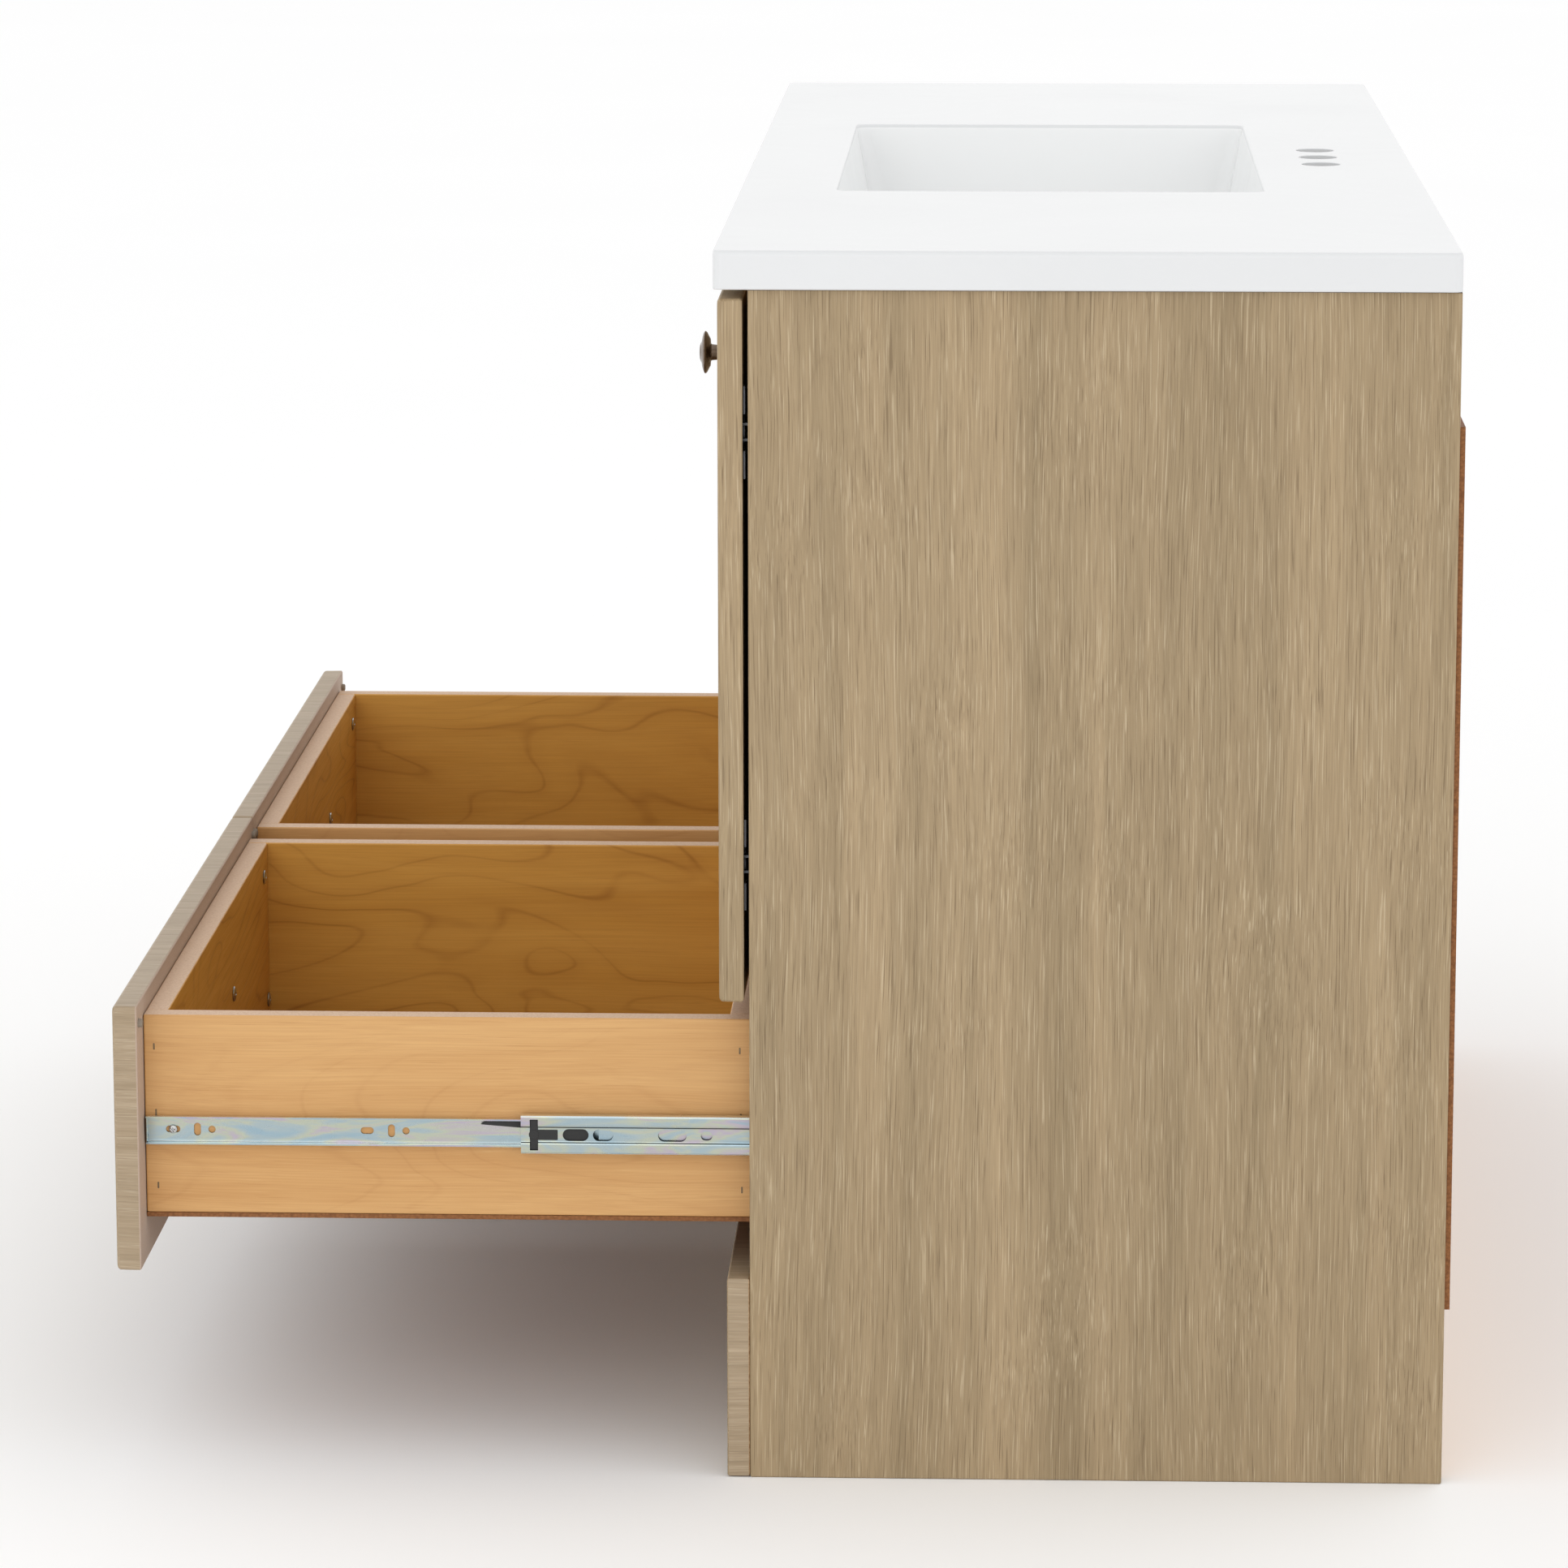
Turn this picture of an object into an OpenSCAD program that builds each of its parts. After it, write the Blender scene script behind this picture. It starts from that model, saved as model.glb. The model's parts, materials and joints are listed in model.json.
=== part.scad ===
// Bathroom vanity with a one-piece moulded top, four doors and two bottom drawers.
// Frame: origin on the floor at the wall plane, centre of the width. The front faces -Y, +Z is up.
// Rest pose: doors shut, both drawers pulled out to their stops. All sizes in millimetres.

/* [Cabinet] */
// Width across the side panels
cabinet_w = 1219; // [1000:1:1500]
// Height of the side panels
cabinet_h = 787; // [760:1:960]
// Depth of the side panels
cabinet_d = 454; // [440:1:560]
// Thickness of the side panels, partitions and rails
panel_t = 16; // [15:0.5:20]
// Thickness of the cabinet floor and of the deck above the drawers
shelf_t = 15; // [12:0.5:18]
// Thickness of the back panel
back_t = 3.5; // [3:0.1:6]
// How far the back panel laps over the wall rail
back_lap = 13; // [5:1:40]
// How far the back panel's edges stay inside the side panels
back_inset = 3; // [0:0.5:8]
// Height of the top rail behind the doors
front_rail_h = 60; // [30:1:90]
// Height of the wall rail at the back
back_rail_h = 100; // [70:1:120]
// Width of the opening for the pipes
pipe_opening_w = 360; // [200:1:500]
// Height of the opening for the pipes
pipe_opening_h = 220; // [120:1:240]
// Height of the pipe opening's lower edge above the floor
pipe_opening_z = 420; // [350:1:430]

/* [Base board] */
// Height of the base board
base_h = 134.5; // [100:0.5:150]
// Thickness of the base board
base_t = 15; // [12:0.5:18]
// Space between the base board and the floor
base_lift = 0.5; // [0:0.5:5]

/* [Moulded top] */
// Thickness of the slab
top_t = 25; // [18:0.5:35]
// Overhang of the slab past each side panel
top_side_overhang = 6.5; // [0:0.5:20]
// Overhang of the slab past the door faces
top_front_overhang = 2.5; // [0:0.5:20]
// Radius of the slab's upright corners
top_corner_r = 4; // [1:0.5:10]
// Length of the basin opening along the width
basin_w = 487; // [380:1:560]
// Depth of the basin opening from front to back
basin_d = 296; // [220:1:300]
// Distance from the wall to the basin opening
basin_back = 113; // [100:1:125]
// Depth of the bowl at its walls
bowl_wall_h = 112; // [80:1:130]
// Extra depth of the bowl at the drain
bowl_fall = 14; // [6:1:25]
// Inward lean of the end walls over their height
bowl_lean_end = 34; // [10:1:60]
// Inward lean of the front and back walls over their height
bowl_lean_side = 22; // [10:1:40]
// Wall thickness of the bowl
bowl_t = 12; // [8:0.5:18]
// Radius of the basin's upright corners
basin_corner_r = 9; // [4:0.5:30]
// Diameter of the drain hole
drain_d = 44.5; // [38:0.5:52]
// Diameter of the tap holes
tap_d = 28; // [22:0.5:36]
// Distance between neighbouring tap holes
tap_pitch = 50.8; // [45:0.1:110]
// Distance from the wall to the tap holes
tap_back = 65.5; // [55:0.5:75]

/* [Doors] */
// Thickness of the doors and drawer fronts
front_t = 16; // [15:0.5:22]
// Space between the cabinet's edge and the fronts
front_standoff = 3.5; // [2.5:0.1:5]
// Gap between neighbouring doors and between the drawer fronts
front_gap = 3; // [2:0.1:5]
// Gap between the doors and the slab
door_top_gap = 6.5; // [3:0.5:12]
// Gap between the doors and the drawer fronts
door_drawer_gap = 6; // [3:0.5:10]
// Width of the raised frame round the door's middle panel
door_frame_w = 57; // [40:1:75]
// Depth of the recess in the door's middle panel
door_recess = 5; // [2:0.5:8]
// Distance from a door's top and bottom to its hinges
hinge_inset = 88; // [70:1:130]
// Distance from the cabinet panel's inner face to the middle of the hinge cup
cup_reach = 5.5; // [5:0.5:6]
// Diameter of the hinge cup
cup_d = 35; // [26:1:35]
// Distance from a door's free edge to its knob
knob_side = 28; // [20:1:45]
// Distance from a door's top to its knob
knob_drop = 70; // [40:1:120]

/* [Knobs and pulls] */
// Diameter of the knob's head
knob_d = 29; // [22:1:38]
// How far the knob stands out from the door
knob_out = 26; // [20:1:34]
// Diameter of the knob's stem
knob_stem_d = 11.5; // [8:0.5:14]
// Distance between the two posts of a drawer pull
pull_pitch = 128; // [96:32:192]
// Diameter of the drawer pull's bar
pull_bar_d = 11; // [8:0.5:14]
// How far the drawer pull stands out from the front
pull_out = 32; // [26:1:40]
// Diameter of the pull's posts
pull_post_d = 9; // [6:0.5:10]
// How far the pull's bar runs past its posts
pull_bar_over = 18; // [8:1:30]
// Height of the pull above the drawer front's lower edge
pull_rise = 99.5; // [60:0.5:130]

/* [Drawers] */
// Height of the drawer fronts
drawer_front_h = 178; // [160:1:200]
// Gap between the drawer fronts and the base board
drawer_base_gap = 2; // [1.5:0.5:5]
// Length of the drawer box
box_len = 400; // [380:1:405]
// Height of the drawer box sides
box_h = 134; // [110:1:138]
// Thickness of the drawer box boards
box_t = 15; // [12:0.5:16]
// Thickness of the drawer bottom
box_bottom_t = 3; // [3:0.5:5]
// Height of the drawer box above the lower edge of its front
box_rise = 29; // [20:1:34]
// Width of the fine gap between the drawer front and the box
box_front_gap = 0.3; // [0.1:0.1:0.6]
// How far a drawer slides out
drawer_travel = 396.5; // [300:0.5:396.5]

/* [Drawer slides] */
// Space for the slide between the drawer box and the cabinet
slide_space = 12.7; // [12.7:0.1:14]
// Height of the slide's middle line above the drawer box's underside
slide_rise = 60; // [30:1:75]
// Height of the cabinet member
outer_member_h = 35; // [34:0.5:38]
// Height of the middle member
middle_member_h = 26; // [25.5:0.1:26.5]
// Height of the drawer member
inner_member_h = 18.7; // [18:0.1:19]
// Length of each slide member
slide_len = 396; // [350:1:396]
// How far the middle member runs out at the drawer's stop
middle_travel = 153; // [120:1:180]
// Thickness of the slide's steel
steel_t = 1.1; // [0.9:0.1:1.2]

/* [Hidden] */
$fn = 48;
eps = 0.01;

// Colours
top_white = [0.93, 0.94, 0.94];
oak = [0.67, 0.58, 0.46];
maple = [0.84, 0.69, 0.47];
hardboard = [0.55, 0.33, 0.17];
front_grey = [0.72, 0.68, 0.62];
zinc = [0.74, 0.77, 0.8];
knob_metal = [0.36, 0.31, 0.27];
black = [0.08, 0.08, 0.08];
rubber_grey = [0.5, 0.46, 0.42];
block_white = [0.9, 0.9, 0.88];

// Heights of the main lines
base_top = base_lift + base_h;
drawer_z = base_top + drawer_base_gap;
drawer_top = drawer_z + drawer_front_h;
door_z = drawer_top + door_drawer_gap;
door_top = cabinet_h - door_top_gap;
door_h = door_top - door_z;
// The floor stops 1 mm short of the base board's top, the deck reaches 3 mm behind the doors
floor_top = base_top - 1;
deck_top = door_z + 3;
deck_z = deck_top - shelf_t;
box_z = drawer_z + box_rise;
side_z = box_z + box_bottom_t;
slide_z = box_z + slide_rise;

// Widths and depths of the main lines
inner_x = cabinet_w / 2 - panel_t;
door_w = (cabinet_w - 3 * front_gap) / 4;
front_w = (cabinet_w - front_gap) / 2;
partition_x = cabinet_w / 2 - door_w - front_gap / 2;
front_back_y = -(cabinet_d + front_standoff);
front_face_y = front_back_y - front_t;
top_w = cabinet_w + 2 * top_side_overhang;
top_d = -front_face_y + top_front_overhang;
top_z = cabinet_h + top_t;
basin_y = -(basin_back + basin_d / 2);

// Drawers, at rest pulled out by drawer_travel
open_face_y = front_face_y - drawer_travel;
box_front_y = open_face_y + front_t + box_front_gap;
box_back_y = box_front_y + box_len;
box_outer_x = inner_x - slide_space;
box_inner_x = panel_t / 2 + slide_space;
pull_z = drawer_z + pull_rise;
// Slides: closed, each member starts this far behind the cabinet's front edge
slide_setback = 2;
slide_y = -cabinet_d + slide_setback;
middle_y = slide_y - middle_travel;
inner_member_y = box_front_y + 1;
// Positions across the slide, counted from the cabinet's face
middle_u = 3.6;
middle_depth = 6.8;
inner_depth = 5.4;
outer_depth = 9.2;
retainer_t = 1.8;

// Knob: thickness of its disc and depth of its domed face
knob_disc_t = 7.2;

// Concealed hinges: places counted from the door's front corner at the hinge edge
cup_inset = panel_t + cup_reach;
link_pivot_in = panel_t + 4.5;
link_pivot_back = front_t - 8;
link_len = 16.5;
link_t = 1.5;
link_half_h = 4;
pin_r = 1.5;
run_clear = 0.05;
cup_wall = 1;
cup_depth = 12.5;
cup_clear = 0.1;
ear_t = 1.6;
flange_h = 60;
flange_w = 14;
flange_gap = 12;
flange_t = 1.2;
plate_t = 2.5;
plate_w = 18;
plate_half_h = 24;
plate_y = -cabinet_d + 37;
plate_screw_z = 16;
arm_w = 5;
arm_len = 58;
right_door_x = cabinet_w / 2;
centre_door_x = front_gap / 2 + door_w;

// Screws
screw_head_r = 3.6;
screw_head_h = 1.8;
screw_shank_r = 1.7;
big_head_r = 5.5;
plate_screw_len = 12;
// Places of the slide screws, counted from each member's front end
cabinet_screw_at = [30, 168, 330];
drawer_screw_at = [17.6, 310, 370];
// Screws in the drawer box's corners: [from the side, from the top]
corner_screws = [[24, 21], [10, 117]];

// Corner blocks under the moulded top
block_leg = 55;
block_h = 25;

// Slide windows, counted from each member's front end, as [place, length]
cabinet_windows = [[60, 22], [110, 22], [210, 22], [260, 22], [300, 22]];
middle_windows = [[36, 14.4], [54, 13.3], [99.5, 18.7], [122, 7.5],
                  [190, 16], [240, 16], [300, 16], [350, 16]];
window_h = 7;
drawer_upright_slots = [33.7, 161.8];
drawer_round_holes = concat([43.3, 171.4], drawer_screw_at);
drawer_long_slot = 145.8;
slot_size = [4.6, 8.6];
round_hole_d = 4.2;

// Plastic retainer at the middle member's front
retainer_cross = [7, 20];
retainer_arm = [18, 5];
retainer_size = [45, 22];
retainer_setback = 3;

// Release lever: its pin's place on the drawer member, its reach and thickness
lever_pin_at = 262;
lever_reach = 41;
lever_t = 2.4;
lever_gap = 0.5;

// Rubber bumpers on the drawer fronts
bumper_t = 3;
bumper_r = 3;
bumper_drop = 13;

// ---- Shapes that repeat ----

// Plate with rounded upright corners, centred in X and Y, standing on z = 0
module rounded_plate(w, d, h, r) {
    linear_extrude(h) {
        square([w - 2 * r, d], center = true);
        square([w, d - 2 * r], center = true);
        for (x = [-1, 1], y = [-1, 1])
            translate([x * (w / 2 - r), y * (d / 2 - r)]) circle(r);
    }
}

// Board between two corners
module board(low, high) {
    translate(low) cube(high - low);
}

// Hole through a web at x = 0, cut along X, with round ends: len along Y and h high
module slot(y, len, h) {
    w = min(len, h);
    for (s = [-1, 1])
        translate([-1, y + s * (len - w) / 2, s * (h - w) / 2])
            rotate([0, 90, 0]) cylinder(d = w, h = steel_t + 2);
    if (len != h)
        translate([-1, y - max(len - w, eps) / 2 - (len > h ? 0 : w / 2),
                   -max(h - w, eps) / 2 - (len > h ? w / 2 : 0)])
            cube([steel_t + 2, len > h ? len - w : w, len > h ? h : h - w]);
}

// Pan-head screw along +X: the head's underside is at x = 0 and the shank runs to -len
module screw_x(len, head_r = screw_head_r) {
    rotate([0, 90, 0]) cylinder(r = head_r, h = screw_head_h);
    translate([-len, 0, 0]) rotate([0, 90, 0]) cylinder(r = screw_shank_r, h = len);
}

// C-shaped steel member, web at x = 0 and flanges towards +X, from y to y + len, centred on z = 0
module channel(y, len, h, depth, lip) {
    translate([0, y, -h / 2]) cube([steel_t, len, h]);
    for (s = [0, 1]) mirror([0, 0, s]) {
        translate([0, y, h / 2 - steel_t]) cube([depth, len, steel_t]);
        translate([depth - steel_t, y, h / 2 - lip]) cube([steel_t, len, lip]);
    }
}

// Draws its children at the outer slide of the right bay and at the inner one, which is the same
// part turned upside down. Inside, x counts from the cabinet's face towards the drawer box and z
// from the slide's middle.
module at_outer_slide() {
    translate([inner_x, 0, slide_z]) mirror([1, 0, 0]) children();
}
module at_inner_slide() {
    translate([panel_t / 2, 0, slide_z]) mirror([0, 0, 1]) children();
}
module at_both_slides() {
    at_outer_slide() children();
    at_inner_slide() children();
}

// Left-hand copies are mirror images about the middle of the cabinet
module on_left() {
    mirror([1, 0, 0]) children();
}

// ---- Moulded top ----

// Bowl from its mouth down to its walls' foot, and from there to the ring round the drain
module bowl_shape(grow, mouth_z, low, fall_r) {
    translate([0, basin_y, 0]) hull() {
        translate([0, 0, mouth_z]) rounded_plate(
            basin_w + 2 * grow, basin_d + 2 * grow, eps, basin_corner_r + grow, $fn = 32);
        translate([0, 0, low]) rounded_plate(
            basin_w - 2 * bowl_lean_end + 2 * grow, basin_d - 2 * bowl_lean_side + 2 * grow,
            eps, basin_corner_r + grow, $fn = 32);
        translate([0, 0, low - bowl_fall]) cylinder(r = fall_r, h = eps, $fn = 32);
    }
}

module vanity_top() {
    bowl_low = top_z - bowl_wall_h;
    color(top_white) difference() {
        union() {
            translate([0, -top_d / 2, cabinet_h]) rounded_plate(top_w, top_d, top_t, top_corner_r);
            bowl_shape(bowl_t, cabinet_h + eps, bowl_low - bowl_t, drain_d / 2 + bowl_t);
            // Boss that the drain fitting clamps to
            translate([0, basin_y, bowl_low - bowl_fall - bowl_t - 6])
                cylinder(d = drain_d + 2 * bowl_t, h = 8);
        }
        bowl_shape(0, top_z, bowl_low, drain_d / 2 + 6);
        translate([0, basin_y, bowl_low - bowl_fall - bowl_t - 7])
            cylinder(d = drain_d, h = bowl_t + 8);
        for (i = [-1:1])
            translate([i * tap_pitch, -tap_back, cabinet_h - 1]) cylinder(d = tap_d, h = top_t + 2);
    }
}

// ---- Carcass ----

module right_side_panel() {
    color(oak) board([inner_x, -cabinet_d, 0], [inner_x + panel_t, 0, cabinet_h]);
}

module left_side_panel() {
    on_left() right_side_panel();
}

module base_board() {
    color(oak) board([-cabinet_w / 2, -cabinet_d - base_t, base_lift],
                     [cabinet_w / 2, -cabinet_d, base_top]);
}

module cabinet_floor() {
    color(maple) board([-inner_x, -cabinet_d, floor_top - shelf_t], [inner_x, 0, floor_top]);
}

module deck_panel() {
    color(maple) board([-inner_x, -cabinet_d, deck_z], [inner_x, 0, deck_top]);
}

module drawer_partition() {
    color(maple) board([-panel_t / 2, -cabinet_d, floor_top], [panel_t / 2, 0, deck_z]);
}

module front_rail() {
    color(maple) board([-inner_x, -cabinet_d, cabinet_h - front_rail_h],
                       [inner_x, -cabinet_d + panel_t, cabinet_h]);
}

// Two rails across the back: the upper one takes the wall screws, the lower one stands on the floor
module back_rails() {
    color(maple) {
        board([-inner_x, -panel_t, cabinet_h - back_rail_h], [inner_x, 0, cabinet_h]);
        board([-inner_x, -panel_t, 0], [inner_x, 0, floor_top - shelf_t]);
    }
}

// Upright partition, notched for the two top rails
module right_partition() {
    color(maple) difference() {
        board([partition_x - panel_t / 2, -cabinet_d, deck_top],
              [partition_x + panel_t / 2, 0, cabinet_h]);
        board([0, -cabinet_d - 1, cabinet_h - front_rail_h],
              [inner_x, -cabinet_d + panel_t, cabinet_h + 1]);
        board([0, -panel_t, cabinet_h - back_rail_h], [inner_x, 1, cabinet_h + 1]);
    }
}

module left_partition() {
    on_left() right_partition();
}

// Thin back with an opening for the water and waste pipes
module back_panel() {
    color(hardboard) difference() {
        board([-cabinet_w / 2 + back_inset, 0, floor_top - shelf_t - 1],
              [cabinet_w / 2 - back_inset, back_t, cabinet_h - back_rail_h + back_lap]);
        board([-pipe_opening_w / 2, -1, pipe_opening_z],
              [pipe_opening_w / 2, back_t + 1, pipe_opening_z + pipe_opening_h]);
    }
}

// Triangular blocks that the moulded top is bonded to, one in each top corner
module corner_blocks() {
    color(block_white)
        for (x = [0, 1], back = [0, 1])
            mirror([x, 0, 0])
                translate([inner_x, back ? -panel_t : -cabinet_d + panel_t, cabinet_h - block_h])
                    mirror([0, back, 0]) linear_extrude(block_h)
                        polygon([[0, 0], [-block_leg, 0], [0, block_leg]]);
}

// Screws of the slides and of the hinge plates
module cabinet_screws() {
    color(zinc) for (side = [0, 1]) mirror([side, 0, 0]) {
        at_both_slides()
            for (d = cabinet_screw_at)
                translate([steel_t, slide_y + d, 0]) screw_x(panel_t / 2 - 1);
        for (face = [inner_x, partition_x - panel_t / 2], z = hinge_heights(), s = [-1, 1])
            translate([face - plate_t, plate_y, z + s * plate_screw_z])
                mirror([1, 0, 0]) screw_x(plate_screw_len);
    }
}

// Cabinet members of the four slides, with a window row along the web
module cabinet_member() {
    difference() {
        channel(slide_y, slide_len, outer_member_h, outer_depth, 2.8);
        for (w = cabinet_windows) slot(slide_y + w[0], w[1], window_h);
    }
}

module cabinet_slides() {
    color(zinc) for (side = [0, 1]) mirror([side, 0, 0]) at_both_slides() cabinet_member();
}

// ---- Drawers: modules draw the right-hand drawer ----

module drawer_front() {
    color(front_grey) board([front_gap / 2, open_face_y, drawer_z],
                            [front_gap / 2 + front_w, open_face_y + front_t, drawer_top]);
}

module drawer_box_front() {
    color(maple) board([box_inner_x + box_t, box_front_y, side_z],
                       [box_outer_x - box_t, box_front_y + box_t, side_z + box_h]);
}

module drawer_box_back() {
    color(maple) board([box_inner_x + box_t, box_back_y - box_t, side_z],
                       [box_outer_x - box_t, box_back_y, side_z + box_h]);
}

module drawer_outer_side() {
    color(maple) board([box_outer_x - box_t, box_front_y, side_z],
                       [box_outer_x, box_back_y, side_z + box_h]);
}

module drawer_inner_side() {
    color(maple) board([box_inner_x, box_front_y, side_z],
                       [box_inner_x + box_t, box_back_y, side_z + box_h]);
}

module drawer_bottom() {
    color(hardboard) board([box_inner_x, box_front_y, box_z], [box_outer_x, box_back_y, side_z]);
}

// Round bar on two posts
module drawer_pull() {
    color(knob_metal) translate([front_gap / 2 + front_w / 2, open_face_y, pull_z]) {
        for (s = [-1, 1])
            translate([s * pull_pitch / 2, 0, 0]) rotate([90, 0, 0])
                cylinder(d = pull_post_d, h = pull_out - pull_bar_d / 2);
        translate([-pull_pitch / 2 - pull_bar_over, -pull_out + pull_bar_d / 2, 0])
            rotate([0, 90, 0]) cylinder(d = pull_bar_d, h = pull_pitch + 2 * pull_bar_over);
    }
}

// Screws through the box front: four that hold the drawer front and two for the pull
module drawer_screws() {
    box_mid_x = (box_inner_x + box_outer_x) / 2;
    half = (box_outer_x - box_inner_x) / 2 - box_t;
    face_y = box_front_y + box_t;
    color(zinc) {
        for (s = [-1, 1], p = corner_screws)
            translate([box_mid_x + s * (half - p[0]), face_y, side_z + box_h - p[1]])
                rotate([0, 0, 90]) screw_x(box_t + box_front_gap + 10, big_head_r);
        for (s = [-1, 1])
            translate([front_gap / 2 + front_w / 2 + s * pull_pitch / 2, face_y, pull_z])
                rotate([0, 0, 90]) screw_x(box_t + box_front_gap + front_t - 2, big_head_r);
        // Screws of the drawer members
        at_both_slides()
            for (d = drawer_screw_at)
                translate([slide_space - steel_t, inner_member_y + d, 0])
                    mirror([1, 0, 0]) screw_x(box_t - 3, 3.2);
    }
}

module drawer_bumpers() {
    color(rubber_grey)
        for (x = [front_gap / 2 + bumper_r + 0.5, front_gap / 2 + front_w - bumper_r - 6])
            translate([x, open_face_y + front_t, drawer_top - bumper_drop])
                rotate([-90, 0, 0]) cylinder(r = bumper_r, h = bumper_t);
}

// Drawer member: web against the box side, with its holes, front tab and lever pin
module drawer_member() {
    y = inner_member_y;
    tab = 3;
    translate([slide_space, 0, 0]) mirror([1, 0, 0]) difference() {
        channel(y, slide_len, inner_member_h, inner_depth, steel_t);
        for (d = drawer_upright_slots) slot(y + d, slot_size[0], slot_size[1]);
        for (d = drawer_round_holes) slot(y + d, round_hole_d, round_hole_d);
        slot(y + drawer_long_slot, slot_size[1], slot_size[0]);
    }
    // Tab that is bent out behind the drawer front
    translate([slide_space - steel_t - tab, y, -inner_member_h / 2 + steel_t])
        cube([tab, steel_t, inner_member_h - 2 * steel_t]);
    translate([slide_space - inner_depth + 0.6, y + lever_pin_at, 0])
        rotate([0, 90, 0]) cylinder(r = pin_r, h = inner_depth - 0.6);
}

module drawer_slides() {
    color(zinc) at_both_slides() drawer_member();
}

// Release lever on the drawer member: a thin blade that widens towards its pivot
module release_lever() {
    x = slide_space - steel_t - lever_gap - lever_t;
    difference() {
        translate([x, inner_member_y + lever_pin_at, 0]) rotate([90, 0, 90])
            linear_extrude(lever_t) {
                polygon([[-lever_reach, 5], [-lever_reach, 4], [-13, -2.2], [0, -3.2],
                         [16, -3.2], [18, -1.5], [18, 2], [0, 3.4], [-12, 2.8]]);
                circle(r = 3.6);
            }
        translate([x - 1, inner_member_y + lever_pin_at, 0])
            rotate([0, 90, 0]) cylinder(r = pin_r + run_clear, h = lever_t + 2);
    }
}

// ---- Middle slide members ----

// Middle member: channel with a cross-shaped cut for the retainer and a row of windows
module middle_member() {
    cut_y = middle_y + 5;
    translate([middle_u, 0, 0]) difference() {
        channel(middle_y, slide_len, middle_member_h, middle_depth, 2.4);
        translate([-1, cut_y, -retainer_cross[1] / 2])
            cube([steel_t + 2, retainer_cross[0], retainer_cross[1]]);
        translate([-1, cut_y, -retainer_arm[1] / 2])
            cube([steel_t + 2, retainer_arm[0], retainer_arm[1]]);
        for (w = middle_windows) slot(middle_y + w[0], w[1], min(w[1], window_h));
    }
}

module middle_slides() {
    color(zinc) at_both_slides() middle_member();
}

// Black plastic piece behind the front windows of the middle member
module slide_retainers() {
    color(black) at_both_slides()
        translate([middle_u + steel_t, middle_y + retainer_setback, -retainer_size[1] / 2])
            cube([retainer_t, retainer_size[0], retainer_size[1]]);
}

// ---- Doors ----
// Inside these modules x = 0 is the door's hinge edge, with the door towards -X

function hinge_heights() = [door_z + hinge_inset, door_top - hinge_inset];

module door_panel() {
    color(oak) difference() {
        board([-door_w, front_face_y, door_z], [0, front_back_y, door_top]);
        board([-door_w + door_frame_w, front_face_y - 1, door_z + door_frame_w],
              [-door_frame_w, front_face_y + door_recess, door_top - door_frame_w]);
        for (z = hinge_heights())
            translate([-cup_inset, front_back_y - cup_depth - cup_clear, z])
                rotate([-90, 0, 0]) cylinder(d = cup_d, h = cup_depth + 1);
    }
}

module knob() {
    color(knob_metal)
        translate([-door_w + knob_side, front_face_y, door_top - knob_drop])
            rotate([90, 0, 0]) rotate_extrude($fn = 64) polygon([
                [0, 0], [knob_stem_d / 2 + 1.5, 0], [knob_stem_d / 2, 2.5],
                [knob_stem_d / 2, knob_out - knob_disc_t - 2],
                [knob_d / 2 - 3.5, knob_out - knob_disc_t],
                [knob_d / 2, knob_out - knob_disc_t * 0.55],
                [knob_d / 2 - 1.2, knob_out - knob_disc_t * 0.35],
                [knob_d * 0.3, knob_out - 1], [0, knob_out]]);
}

// Pressed-steel cup in the door's bore, with a flange plate above and below its mouth
module hinge_cups() {
    color(zinc) for (z = hinge_heights()) {
        translate([-cup_inset, front_back_y, z]) rotate([-90, 0, 0]) difference() {
            translate([0, 0, -cup_depth]) cylinder(d = cup_d - 2 * cup_clear, h = cup_depth);
            translate([0, 0, -cup_depth + cup_wall])
                cylinder(d = cup_d - 2 * cup_clear - 2 * cup_wall, h = cup_depth);
        }
        for (s = [-1, 1])
            translate([-cup_inset - flange_w / 2, front_back_y,
                       z + (s > 0 ? flange_gap : -flange_h / 2)])
                cube([flange_w, flange_t, flange_h / 2 - flange_gap]);
    }
}

// Link that swings between the fixed arm and the cup, with a short hook at its end
module hinge_links() {
    color(zinc) for (z = hinge_heights())
        translate([-link_pivot_in, front_face_y + link_pivot_back, z]) difference() {
            union() {
                translate([0, 0, -link_half_h]) cylinder(r = 2.6, h = 2 * link_half_h);
                translate([-link_len, -link_t / 2, -link_half_h])
                    cube([link_len, link_t, 2 * link_half_h]);
                translate([-link_len, -link_t / 2 - 1.6, -link_half_h])
                    cube([link_t, 2, 2 * link_half_h]);
            }
            translate([0, 0, -link_half_h - 1])
                cylinder(r = pin_r + run_clear, h = 2 * link_half_h + 2);
        }
}

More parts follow.
